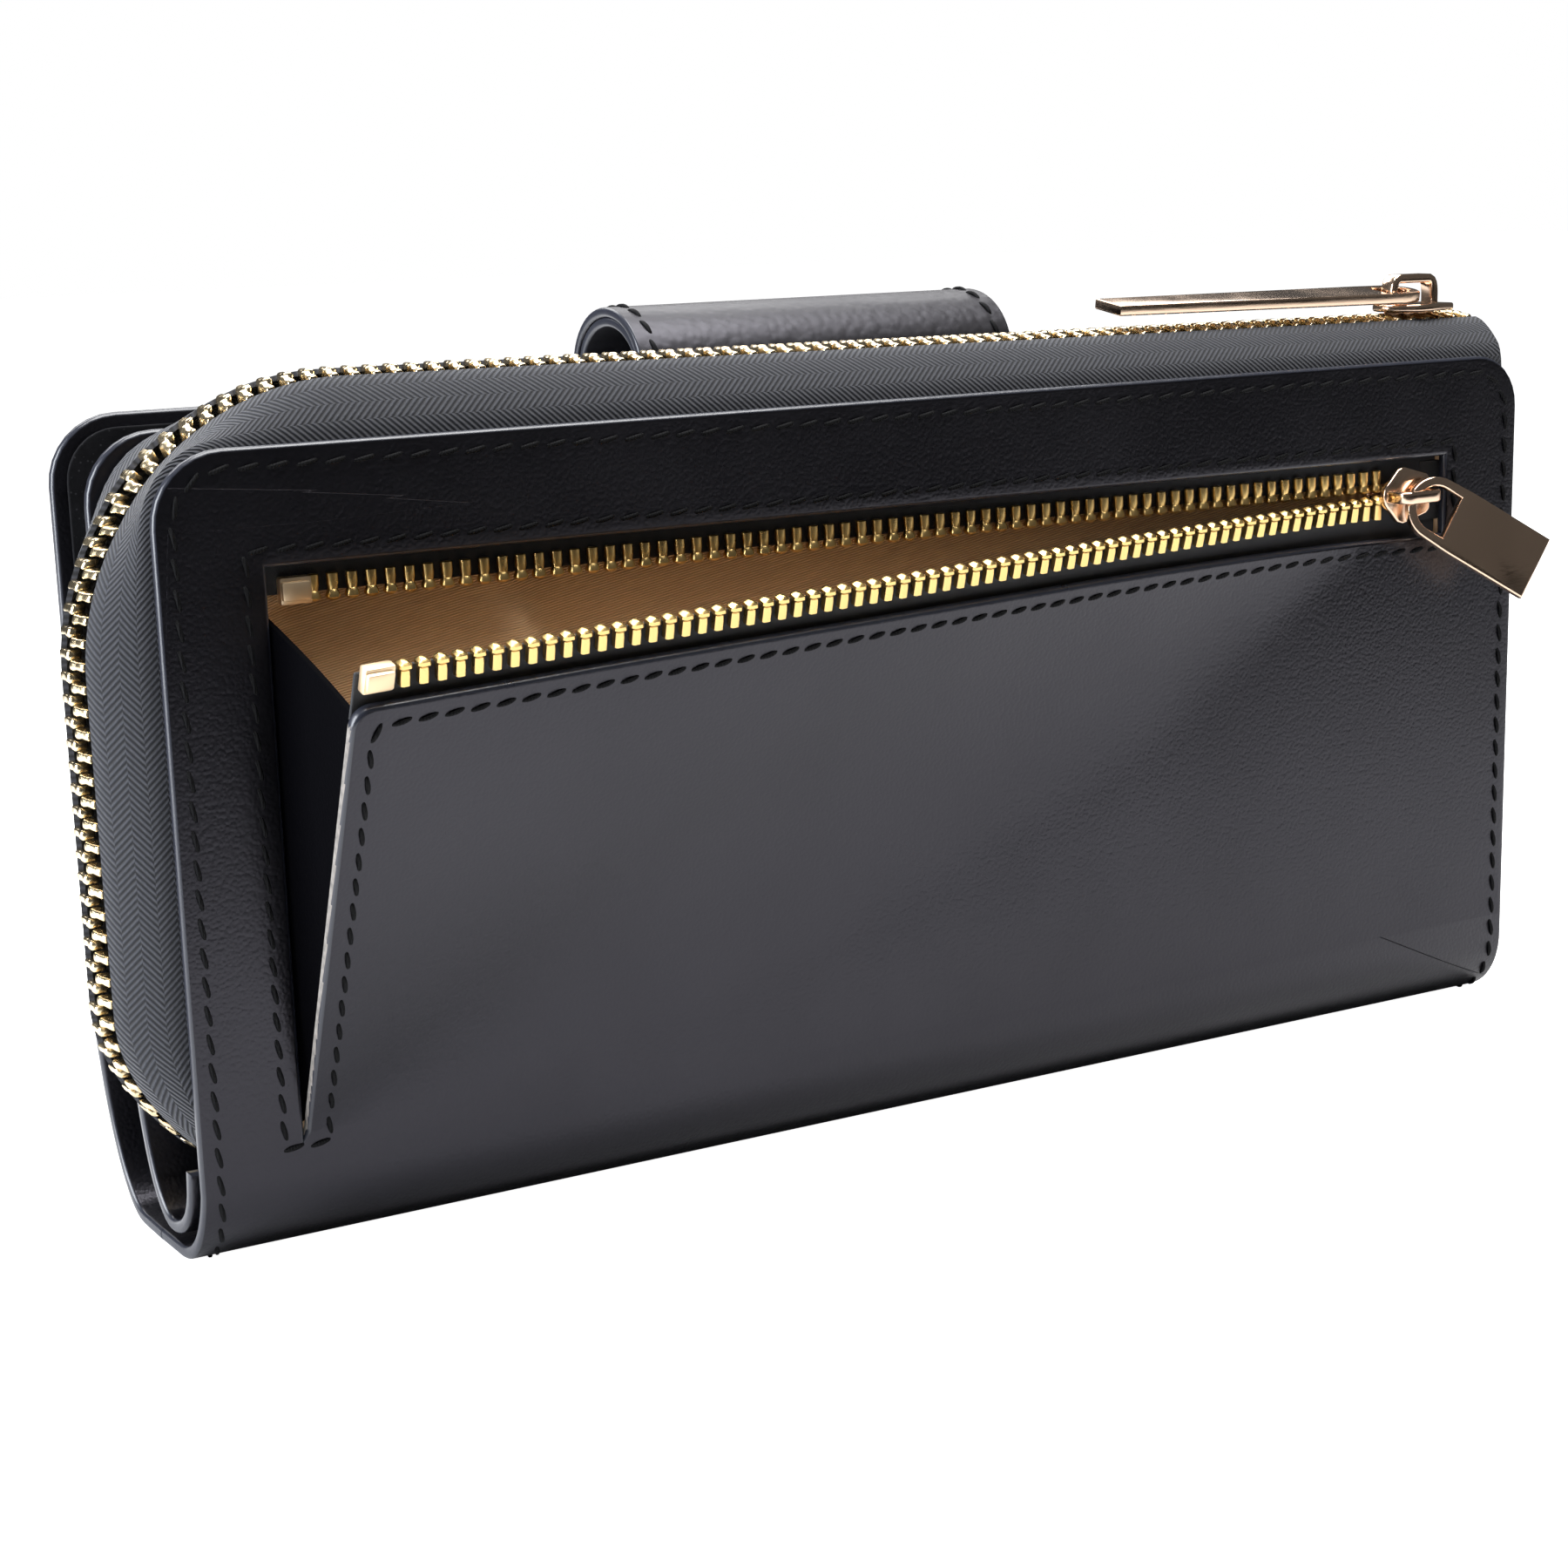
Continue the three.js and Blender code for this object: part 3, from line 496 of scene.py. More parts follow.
def raw_edge():
    """A cut edge left unpainted: pale grey-tan fibres, rough and dry."""
    material, tree, shader = new_material("raw_leather_edge")
    spot = put(tree, "ShaderNodeTexCoord").outputs["Object"]
    fibre = put(tree, "ShaderNodeTexNoise", {"Vector": spot, "Scale": 1100.0, "Detail": 5.0})
    tone = mix_tones(tree, fibre.outputs["Fac"], (0.05, 0.048, 0.05), (0.42, 0.38, 0.34))
    tree.links.new(tone, shader.inputs["Base Color"])
    add_relief(tree, shader, fibre.outputs["Fac"], Distance=0.0002)
    shader.inputs["Roughness"].default_value = 0.9
    return material


def edge_paint():
    """Glossy edge paint, laid in coats that stay a little uneven."""
    material, tree, shader = new_material("edge_paint")
    spot = put(tree, "ShaderNodeTexCoord").outputs["Object"]
    uneven = put(tree, "ShaderNodeTexNoise", {"Vector": spot, "Scale": 260.0, "Detail": 3.0})
    tone = put(tree, "ShaderNodeMapRange", {"Value": uneven.outputs["Fac"], "To Min": 0.22,
                                            "To Max": 0.42})
    tree.links.new(tone.outputs[0], shader.inputs["Roughness"])
    add_relief(tree, shader, uneven.outputs["Fac"], Distance=0.0002, Strength=0.5)
    shader.inputs["Base Color"].default_value = (0.018, 0.02, 0.03, 1)
    shader.inputs["Coat Weight"].default_value = 0.35
    shader.inputs["Coat Roughness"].default_value = 0.2
    return material


painted_edge = edge_paint()

STITCH_IN = 2.1 * MM
SEAM = {
    "left": -85.3 * MM, "top": BACK_TOP - STITCH_IN, "right": 83.95 * MM,
    "window_top": 79.5 * MM, "foot": 12.9 * MM, "flap": 1.9 * MM,
}
border_left = -LENGTH_HALF + STITCH_IN
border_right = LENGTH_HALF - STITCH_IN
border_bottom = -6 * MM
border_run = ([(border_left, border_bottom)]
              + arc(border_left + CORNER - STITCH_IN, SEAM["top"] - CORNER + STITCH_IN,
                    CORNER - STITCH_IN, 180, 90)
              + arc(border_right - CORNER + STITCH_IN, SEAM["top"] - CORNER + STITCH_IN,
                    CORNER - STITCH_IN, 90, 0)
              + [(border_right, border_bottom)])
window_run = [(-81.2 * MM, SEAM["foot"]), (SEAM["left"], SEAM["foot"]), (SEAM["left"], SEAM["window_top"]),
              (SEAM["right"], SEAM["window_top"]), (SEAM["right"], FLAP["top"] - SEAM["flap"])]
flap_seam_top = FLAP["top"] - SEAM["flap"]
flap_seam_left = FLAP["left"] + SEAM["flap"] + 0.6 * MM
flap_run = ([(SEAM["right"], flap_seam_top)]
            + arc(flap_seam_left + 2 * MM, flap_seam_top - 2 * MM + 0.9 * MM, 2 * MM, 90, 180)
            + [(flap_seam_left, SEAM["foot"] + 2 * MM)])


def straight_seams(run):
    """The long straight stretches of a run of stitches."""
    pairs = zip(run[:-1], run[1:])
    return [(a, b) for a, b in pairs if (Vector(b) - Vector(a)).length > 3 * MM]


back_hide = leather("back_hide", straight_seams(border_run) + straight_seams(window_run)
                    + straight_seams(flap_run))

panel_rim = ([(-LENGTH_HALF, PANEL_FOOT_Z - 1 * MM), (LENGTH_HALF, PANEL_FOOT_Z - 1 * MM)]
             + arc(LENGTH_HALF - CORNER + 1 * MM, BACK_TOP - CORNER + 1 * MM, CORNER - 1 * MM, 0, 90)
             + arc(-LENGTH_HALF + CORNER, BACK_TOP - CORNER, CORNER, 90, 180))
window_rim = ([(WINDOW["left"], WINDOW["foot"]), (WINDOW["left"], WINDOW["top"]),
               (WINDOW["right"], WINDOW["top"]), (WINDOW["right"], FLAP["top"]), (60 * MM, FLAP["top"])]
              + arc(FLAP["left"] + FLAP["corner"], FLAP["left_top"] - FLAP["corner"],
                    FLAP["corner"], 90, 180)
              + [(FLAP["left"], WINDOW["foot"] + 0.6 * MM)])
panel_mesh = slab("back_leather", [panel_rim, window_rim[::-1]], HIDE, EDGE)
fold_cuts = [(tuple(fold_start + fold_across * (shift * MM)), tuple(fold_across))
             for shift in np.arange(-14, 15, 2)]
trim(panel_mesh, (0, PANEL_FOOT_Z), (0, -1))
rule(panel_mesh, grid_cuts((-LENGTH_HALF, PANEL_FOOT_Z), (LENGTH_HALF, BACK_TOP), 5 * MM) + fold_cuts)
for face in panel_mesh.polygons:
    middle = face.center
    at_cut = abs(middle.x - FLAP["left"]) < 0.35 * MM and face.normal.x < -0.5
    on_flap_side = WINDOW["foot"] < middle.y < FLAP["top"] - 1 * MM
    if at_cut and on_flap_side and middle.z < -0.45 * MM:
        face.material_index = 2
keep_flat_place(panel_mesh)
bend(panel_mesh, on_back)
back_leather = dress("back_leather", panel_mesh, "black_leather", [back_hide, painted_edge, raw_edge()],
                     nodes=("back_panel", "coin_flap"))


def bend_with_flap(piece):
    """Bakes the piece's placement into its mesh."""
    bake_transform(piece)


bend_with_flap(back_leather)

JOIN = 1 * MM
fold_v = BACK_LINE_TOP - back_fold_length + 1 * MM
lower_rim = [(-LENGTH_HALF, PANEL_FOOT_Z + JOIN), (-LENGTH_HALF, BEND_Z), (-LENGTH_HALF - 1.2 * MM, fold_v),
             (-LENGTH_HALF - 1.2 * MM, fold_v - JOIN), (LENGTH_HALF, fold_v - JOIN),
             (LENGTH_HALF, PANEL_FOOT_Z + JOIN)]
lower_mesh = slab("back_fold_leather", [lower_rim], HIDE, EDGE)
trim(lower_mesh, (0, PANEL_FOOT_Z), (0, 1))
trim(lower_mesh, (0, fold_v), (0, -1))
rule(lower_mesh, [((0, v), (0, 1)) for v in np.arange(fold_v, PANEL_FOOT_Z, 0.8 * MM)])
keep_flat_place(lower_mesh)
bend(lower_mesh, round_back)
back_fold_leather = dress("back_fold_leather", lower_mesh, "black_leather", [back_hide, painted_edge])
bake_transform(back_fold_leather)

# ---- front leather: the other half of the hide, from under the wallet up the cover ----
# The same black calf. It stands 2.5 mm past the back at the left end, and the tab lies on it.
FRONT_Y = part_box("front_cover")[1].y
COVER_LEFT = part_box("front_cover")[0].x
COVER_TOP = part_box("front_cover")[1].z
FRONT_BEND_Z = 24 * MM
front_line = ([(SPINE_MIDDLE_Y - 1 * MM, 0), (SPINE_MIDDLE_Y, 0), (1 * MM, 0)]
              + ellipse(4 * MM, FRONT_BEND_Z, FRONT_Y - 4 * MM, FRONT_BEND_Z, 270, 360, 24)
              + [(FRONT_Y, FRONT_BEND_Z + 1 * MM), (FRONT_Y, COVER_TOP + 5 * MM)])


def follow(points):
    """A place function for a sheet whose v runs along the line and whose u runs towards -X."""
    at, length = section(points)

    def place(u, v, w):
        y, z, dy, dz = at(v)
        return Vector((-u, y + dz * w, z - dy * w))

    return place, length


on_front, front_length = follow(front_line)
front_top = front_length - 5 * MM
front_foot = JOIN
front_rim = ([(-LENGTH_HALF, front_foot - JOIN), (-COVER_LEFT - 1.3 * MM, front_foot - JOIN),
              (-COVER_LEFT, front_foot + 32 * MM)]
             + arc(-COVER_LEFT - CORNER, front_top - CORNER, CORNER, 0, 90)
             + arc(-LENGTH_HALF + CORNER, front_top - CORNER, CORNER, 90, 180))
front_stitch_run = ([(-COVER_LEFT - STITCH_IN - 1 * MM, front_foot + 10 * MM)]
                    + arc(-COVER_LEFT - CORNER, front_top - CORNER, CORNER - STITCH_IN, 0, 90)
                    + arc(-LENGTH_HALF + CORNER, front_top - CORNER, CORNER - STITCH_IN, 90, 180)
                    + [(-LENGTH_HALF + STITCH_IN, front_foot + 10 * MM)])
front_hide = leather("front_hide", straight_seams(front_stitch_run))
front_mesh = slab("front_leather", [front_rim], HIDE, EDGE)
trim(front_mesh, (0, front_foot), (0, -1))
rule(front_mesh, [((0, v), (0, 1)) for v in np.arange(front_foot, front_top, 1.2 * MM)])
keep_flat_place(front_mesh)
bend(front_mesh, on_front)
front_leather = dress("front_leather", front_mesh, "black_leather", [front_hide, painted_edge],
                      nodes=("front_cover", "outer_spine"))
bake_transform(front_leather)

# ---- divider and inner spine: the smaller U inside ----
# A second calf sheet, painted at its edges, that starts behind the coin pocket, rounds the
# bottom of the zip compartment and stands up as the wall the card fold closes against.
DIVIDER_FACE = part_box("divider_panel")[1].y
DIVIDER_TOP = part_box("divider_panel")[1].z
DIVIDER_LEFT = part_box("divider_panel")[0].x
INNER_BACK = -12.9 * MM
INNER_FLOOR = 2.5 * MM
inner_line = ([(INNER_BACK, 11.3 * MM), (INNER_BACK, 10.3 * MM)]
              + ellipse(-6 * MM, 9 * MM, 6.9 * MM, 6.5 * MM, 180, 270, 14)
              + ellipse(-6 * MM, 24 * MM, DIVIDER_FACE + 6 * MM, 24 * MM - INNER_FLOOR, 271, 360, 22)
              + [(DIVIDER_FACE, 25 * MM), (DIVIDER_FACE, DIVIDER_TOP)])
on_inner, inner_length = follow(inner_line)
inner_rim = ([(-LENGTH_HALF + 1.5 * MM, 0), (95.6 * MM, 0), (96.4 * MM, 20 * MM), (-DIVIDER_LEFT, 42 * MM)]
             + arc(-DIVIDER_LEFT - CORNER, inner_length - CORNER, CORNER, 0, 90)
             + arc(-LENGTH_HALF + 1.5 * MM + CORNER, inner_length - CORNER, CORNER, 90, 180))
plain_hide = leather("plain_hide")
inner_mesh = slab("divider_leather", [inner_rim], 1.6 * MM, EDGE)
rule(inner_mesh, [((0, v), (0, 1)) for v in np.arange(1 * MM, 44 * MM, 1 * MM)])
keep_flat_place(inner_mesh)
bend(inner_mesh, on_inner)
divider_leather = dress("divider_leather", inner_mesh, "black_leather", [plain_hide, painted_edge],
                        nodes=("divider_panel", "inner_spine"))
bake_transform(divider_leather)

# ---- stitches: black lock stitch round the panel, the coin cut, the flap and the cover ----
# Bonded nylon thread about half a millimetre thick, about three millimetres a stitch, each
# lying a little across the seam and pulled down into its needle holes.
THREAD = 0.28 * MM
BORDER_PITCH = 3.24 * MM
WINDOW_PITCH = 3.11 * MM


def build_row(name, second_axis):
    """Repeats an item along edges, its X along them and its second axis as given."""
    tree = bpy.data.node_groups.new(name, "GeometryNodeTree")
    wanted = [("Line", "Geometry"), ("Item", "Object"), ("Pitch", "Float"), ("Start", "Float"),
              ("Second", "Vector"), ("Material", "Material")]
    for socket, kind in wanted:
        tree.interface.new_socket(socket, in_out="INPUT", socket_type="NodeSocket" + kind)
    tree.interface.new_socket("Row", in_out="OUTPUT", socket_type="NodeSocketGeometry")
    given = tree.nodes.new("NodeGroupInput").outputs
    line = put(tree, "GeometryNodeMeshToCurve", {"Mesh": given["Line"]}).outputs[0]
    length = put(tree, "GeometryNodeCurveLength", {0: line}).outputs[0]
    cut = put(tree, "GeometryNodeTrimCurve", {"Curve": line}, mode="LENGTH")
    tree.links.new(given["Start"], cut.inputs[4])
    tree.links.new(length, cut.inputs[5])
    points = put(tree, "GeometryNodeCurveToPoints", {"Curve": cut.outputs[0], "Length": given["Pitch"]},
                 mode="LENGTH")
    turn = put(tree, "FunctionNodeAxesToRotation", {0: points.outputs["Tangent"], 1: given["Second"]},
               primary_axis="X", secondary_axis=second_axis)
    item = put(tree, "GeometryNodeObjectInfo", {"Object": given["Item"]}).outputs["Geometry"]
    row = put(tree, "GeometryNodeInstanceOnPoints", {
        "Points": points.outputs["Points"], "Instance": item, "Rotation": turn.outputs[0]})
    real = put(tree, "GeometryNodeRealizeInstances", {0: row.outputs[0]})
    done = put(tree, "GeometryNodeSetMaterial", {"Geometry": real.outputs[0],
                                                 "Material": given["Material"]})
    tree.links.new(done.outputs[0], tree.nodes.new("NodeGroupOutput").inputs[0])
    return tree


def row_along(name, tree, runs, item, **values):
    """The plain mesh of a row of items along runs of points."""
    host_mesh = bpy.data.meshes.new(name)
    places, edges = [], []
    for run in runs:
        first = len(places)
        corners = [Vector((*p, 0)[:3]) for p in run]
        for here, there in zip(corners[:-1], corners[1:]):
            steps = max(int((there - here).length / MM), 1)
            places += [tuple(here.lerp(there, i / steps)) for i in range(steps)]
        places.append(tuple(corners[-1]))
        edges += [(i, i + 1) for i in range(first, len(places) - 1)]
    host_mesh.from_pydata(places, edges, [])
    host = link(name + "_host", host_mesh)
    example = link(name + "_item", item)
    modifier = host.modifiers.new("row", "NODES")
    modifier.node_group = tree
    values = {"Item": example, "Start": 0.0, **values}
    for socket in tree.interface.items_tree:
        if socket.in_out == "INPUT" and socket.name in values:
            modifier[socket.identifier] = values[socket.name]
    bpy.context.view_layer.update()
    made = bpy.data.meshes.new_from_object(host.evaluated_get(bpy.context.evaluated_depsgraph_get()))
    made.name = name
    for helper in (host, example):
        bpy.data.objects.remove(helper)
    return made


def rings_mesh(name, rings):
    """A skin through rings of points, its two ends closed by fans."""
    work = bmesh.new()
    skin = [[work.verts.new(p) for p in ring] for ring in rings]
    for low, high in zip(skin[:-1], skin[1:]):
        for i in range(len(low)):
            j = (i + 1) % len(low)
            work.faces.new((low[i], low[j], high[j], high[i]))
    work.faces.new(skin[0][::-1])
    work.faces.new(skin[-1])
    bmesh.ops.recalc_face_normals(work, faces=work.faces)
    for face in work.faces:
        face.smooth = True
    mesh = bpy.data.meshes.new(name)
    work.to_mesh(mesh)
    work.free()
    return mesh


def stitch_item(pitch):
    """One stitch: a short bow of thread whose ends go down into the holes."""
    rings = []
    for step in range(7):
        t = step / 6
        x = (t - 0.5) * pitch * 0.86
        lift = math.sin(math.pi * t) ** 0.6 * 0.42 * MM - 0.24 * MM
        thick = THREAD * (0.75 + 0.25 * math.sin(math.pi * t))
        rings.append([(x, thick * math.cos(a), lift + 0.8 * thick * math.sin(a))
                      for a in np.radians(np.arange(0, 360, 60))])
    mesh = rings_mesh("stitch", rings)
    mesh.transform(Matrix.Rotation(math.radians(12), 4, "Z"))
    return mesh


def thread():
    material, tree, shader = new_material("black_thread")
    spot = put(tree, "ShaderNodeTexCoord").outputs["Object"]
    ply = put(tree, "ShaderNodeTexWave", {"Vector": spot, "Scale": 900.0, "Distortion": 2.0})
    add_relief(tree, shader, ply.outputs["Fac"], Distance=0.0001, Strength=0.5)
    # Painted light: the tone follows the ply wave that also makes the relief, a painted highlight on the ply
    # crests and painted shade between them.
    tone = mix_tones(tree, ply.outputs["Fac"], (0.0006, 0.0006, 0.0008), (0.003, 0.003, 0.004))
    tree.links.new(tone, shader.inputs["Base Color"])
    shader.inputs["Roughness"].default_value = 0.75
    shader.inputs["Specular IOR Level"].default_value = 0.2
    return material


black_thread = thread()
stitch_row = build_row("stitch_row", "Z")
STITCHES = [
    ("border_stitches", [border_run], BORDER_PITCH, round_back, "back_fold"),
    ("window_stitches", [window_run], WINDOW_PITCH, on_panel, "back_half"),
    ("flap_stitches", [flap_run], WINDOW_PITCH, on_back, "flap"),
    ("cover_stitches", [front_stitch_run], BORDER_PITCH, on_front, "front"),
]
for name, runs, pitch, place, joint in STITCHES:
    sewn = row_along(name, stitch_row, runs, stitch_item(pitch), Pitch=pitch, Second=(0.0, 0.0, 1.0),
                     Material=black_thread)
    bend(sewn, place, smooth=80)
    seam = dress(name, sewn, "black_leather", [], body="back_half" if joint == "back_half" else None)
    if joint == "back_fold":
        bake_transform(seam)
    elif joint == "flap":
        bend_with_flap(seam)
    elif joint == "front":
        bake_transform(seam)

# ---- linings and leaves: the flat sheets inside ----
# Card pockets of thin split leather, a suede-like cloth on the inner faces, a stiffening board
# in the cover and a cloth wall that parts the notes. All are cut flat and sewn in at the rim.


def suede():
    """Black brushed cloth: matt, softly mottled, with pale specks painted into its colour as the highlights
    of fibre ends catching the light.
    """
    material, tree, shader = new_material("black_suede")
    spot = put(tree, "ShaderNodeTexCoord").outputs["Object"]
    nap = put(tree, "ShaderNodeTexNoise", {"Vector": spot, "Scale": 420.0, "Detail": 5.0})
    fibre = put(tree, "ShaderNodeTexVoronoi", {"Vector": spot, "Scale": 1500.0})
    # Painted highlight: these pale specks are mixed into the base colour where fibre ends would catch the
    # light.
    ends = put(tree, "ShaderNodeMapRange", {"Value": fibre.outputs["Distance"], "From Min": 0.22,
                                            "From Max": 0.08}).outputs[0]
    base = mix_tones(tree, nap.outputs["Fac"], (0.002, 0.002, 0.0025), (0.011, 0.011, 0.013))
    tone = mix_tones(tree, maths(tree, "MULTIPLY", ends, 0.5), base, (0.06, 0.06, 0.065))
    tree.links.new(tone, shader.inputs["Base Color"])
    add_relief(tree, shader, nap.outputs["Fac"], Distance=0.0003, Strength=0.6)
    shader.inputs["Roughness"].default_value = 0.95
    shader.inputs["Specular IOR Level"].default_value = 0.15
    return material


def fibre_board():
    """Grey-brown bonded board with short fibres in it."""
    material, tree, shader = new_material("fibre_board")
    spot = put(tree, "ShaderNodeTexCoord").outputs["Object"]
    fleck = put(tree, "ShaderNodeTexNoise", {"Vector": spot, "Scale": 700.0, "Detail": 4.0})
    tone = mix_tones(tree, fleck.outputs["Fac"], (0.08, 0.055, 0.035), (0.22, 0.16, 0.1))
    tree.links.new(tone, shader.inputs["Base Color"])
    add_relief(tree, shader, fleck.outputs["Fac"], Distance=0.0001)
    shader.inputs["Roughness"].default_value = 0.9
    return material


pocket_hide = leather("pocket_hide", cell=0.0005)
black_suede = suede()
LEAVES = [
    ("divider_card_pocket_1", "divider", "black_leather", pocket_hide, 2, False),
    ("divider_card_pocket_2", "divider", "black_leather", pocket_hide, 2, False),
    ("divider_card_pocket_3", "divider", "black_leather", pocket_hide, 2, False),
    ("cover_card_pocket_1", "cover_half", "black_leather", pocket_hide, 2, False),
    ("cover_card_pocket_2", "cover_half", "black_leather", pocket_hide, 2, False),
    ("cover_board", "cover_half", "fibre_board", fibre_board(), 4, False),
    ("cover_lining", "cover_half", "black_suede", black_suede, 6, True),
    ("back_lining", "back_half", "black_suede", black_suede, 4, True),
    ("note_partition", "divider", "black_suede", black_suede, 3, True),
    ("tab_anchor", "divider", "black_leather", pocket_hide, 1, False),
]


def leaf(name, body, slot, material, corner, cloth):
    low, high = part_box(name)
    rim = outline_box(low.x, low.z, high.x, high.z, [corner * MM] * 4)
    thickness = high.y - low.y
    mesh = slab(name + "_leaf", [rim], thickness, min(0.25 * MM, thickness * 0.4))
    rule(mesh, grid_cuts((low.x, low.z), (high.x, high.z), 12 * MM))
    keep_flat_place(mesh)
    bend(mesh, lambda u, v, w: Vector((u, low.y - w, v)))
    piece = dress(name + "_leaf", mesh, slot, [material, material], body=body, nodes=(name,))


for details in LEAVES:
    leaf(*details)

# ---- side gusset: the leather wall at the closed end of the zip compartment ----
# A thin strip of the same split leather as the pockets. It stands across the compartment and
# is glued to the divider's side.
gusset_low, gusset_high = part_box("side_gusset")
end_mesh = slab("side_gusset_wall", [outline_box(gusset_low.y, gusset_low.z, gusset_high.y, gusset_high.z,
                                                 [0.6 * MM] * 4)], gusset_high.x - gusset_low.x, 0.2 * MM)
rule(end_mesh, grid_cuts((gusset_low.y, gusset_low.z), (gusset_high.y, gusset_high.z), 5 * MM))
keep_flat_place(end_mesh)
bend(end_mesh, lambda u, v, w: Vector((gusset_high.x + w, u, v)))
dress("side_gusset_wall", end_mesh, "black_leather", [pocket_hide, pocket_hide], body="divider",
      nodes=("side_gusset",))

# ---- main zip: two tapes and two staggered rows of teeth ----
# Herringbone polyester tape 0.6 mm thick is sewn along both walls of the compartment. Its pale
# gold teeth stand out past the rim, round the corner and down the left end.
ZIP = {
    "right": 94 * MM, "end_z": 12 * MM, "crest_y": -5 * MM, "rise": 5.6 * MM, "slope": -0.009,
    "top_tilt": 0.07, "side_tilt": 0.14, "foot": -6.5 * MM, "tuck": 17 * MM,
}
TAPE = 0.6 * MM
ZIP_PITCH = 2.47 * MM
CHAIN_BEND = 30 * MM
chain_bend_x = -LENGTH_HALF - ZIP["rise"] + CHAIN_BEND
chain_bend_z = BACK_TOP + ZIP["rise"] - CHAIN_BEND
zip_top = ZIP["right"] - chain_bend_x
zip_length = zip_top + CHAIN_BEND * math.pi / 2 + chain_bend_z - ZIP["end_z"]


def zip_rim(run):
    """After a length of chain: the rim's place beside it, the way out, and the crest's height."""
    turned = min(max((run - zip_top) / CHAIN_BEND, 0), math.pi / 2)
    x = max(ZIP["right"] - run, chain_bend_x) - CHAIN_BEND * math.sin(turned)
    z = chain_bend_z + CHAIN_BEND * math.cos(turned) - max(run - zip_top - CHAIN_BEND * math.pi / 2, 0)
    middle = Vector((max(x, CORNER - LENGTH_HALF), min(z, BACK_TOP - CORNER)))
    out = Vector((x, z)) - middle
    return middle + out.normalized() * CORNER, out.normalized(), out.length - CORNER


def on_zip(u, y, rise, crest=1.0):
    """u runs back along the chain from its open end, y across it, rise out of the wallet."""
    rim, way, height = zip_rim(-u)
    side = math.atan2(-way.x, way.y) / (math.pi / 2)
    tuck = min(max((ZIP["end_z"] + ZIP["tuck"] - rim.y) / ZIP["tuck"], 0), 1) ** 2
    tilt = ZIP["top_tilt"] + (ZIP["side_tilt"] - ZIP["top_tilt"]) * side
    slope = ZIP["slope"] * max(rim.x, CORNER - LENGTH_HALF) + tilt * (y - ZIP["crest_y"])
    lift = (slope + height - ZIP["rise"]) * crest
    inward = 8.5 * MM * tuck * (rise - ZIP["foot"]) / (ZIP["rise"] - ZIP["foot"])
    pinch = 3.4 * MM * tuck * (y + 13.6 * MM) / (14.9 * MM)
    place = rim + way * (rise + lift - inward)
    return Vector((place.x, y - pinch, place.y))


def soften(points, rounds=2):
    """Rounds a line off by cutting its corners, and keeps its two ends."""
    line = np.array(points, float)
    for _ in range(rounds):
        low = line[:-1] * 0.75 + line[1:] * 0.25
        high = line[:-1] * 0.25 + line[1:] * 0.75
        between = np.stack([low, high], 1).reshape(-1, line.shape[1])[1:-1]
        line = np.vstack([line[:1], between, line[-1:]])
    return line


def build_weave():
    """Woven ribs: straight ones along a way, or a herringbone where a column width is given."""
    tree, given, result = group(
        "woven_ribs", [("Flat", "Vector", None), ("Way", "Vector", None), ("Column", "Float", 0.0),
                       ("Rib", "Float", 0.0006)], ["Height", "Slub"])
    across = put(tree, "ShaderNodeSeparateXYZ", {0: given["Flat"]}).outputs["Y"]
    run = put(tree, "ShaderNodeVectorMath", {0: given["Flat"], 1: given["Way"]},
              operation="DOT_PRODUCT").outputs["Value"]
    zigzag = maths(tree, "PINGPONG", across, given["Column"])
    turns = maths(tree, "DIVIDE", maths(tree, "ADD", run, zigzag), given["Rib"])
    wave = maths(tree, "SINE", maths(tree, "MULTIPLY", turns, 2 * math.pi))
    tree.links.new(maths(tree, "MULTIPLY", maths(tree, "ADD", wave, 1.0), 0.5), result["Height"])
    slub = put(tree, "ShaderNodeTexNoise", {"Vector": given["Flat"], "Scale": 1400.0, "Detail": 2.0})
    tree.links.new(slub.outputs["Fac"], result["Slub"])
    return tree


woven_ribs = build_weave()


def woven(name, dark, pale, way, column, rib, depth):
    """Cloth coloured by its rib height, with painted highlight on the rib tops and painted shade between
    them, varied at random by uneven thread.
    """
    material, tree, shader = new_material(name)
    flat = put(tree, "ShaderNodeTexCoord").outputs["UV"]
    cloth = place_group(tree, woven_ribs, {"Flat": flat, "Way": way, "Column": column, "Rib": rib})
    height = maths(tree, "MULTIPLY", cloth["Height"], maths(tree, "ADD", cloth["Slub"], 0.5))
    # Painted light: the tone runs from dark to pale with rib height, painted shade between the ribs and
    # painted highlight on their tops; the slubbed thread varies it at random.
    tree.links.new(mix_tones(tree, height, dark, pale), shader.inputs["Base Color"])
    add_relief(tree, shader, height, Distance=depth, Strength=0.8)
    shader.inputs["Roughness"].default_value = 0.82
    shader.inputs["Sheen Weight"].default_value = 0.15
    return material


black_tape = woven("black_zip_tape", (0.007, 0.0075, 0.01), (0.036, 0.038, 0.048), (1.0, 0.0, 0.0),
                   2.1 * MM, 0.8 * MM, 0.00015)


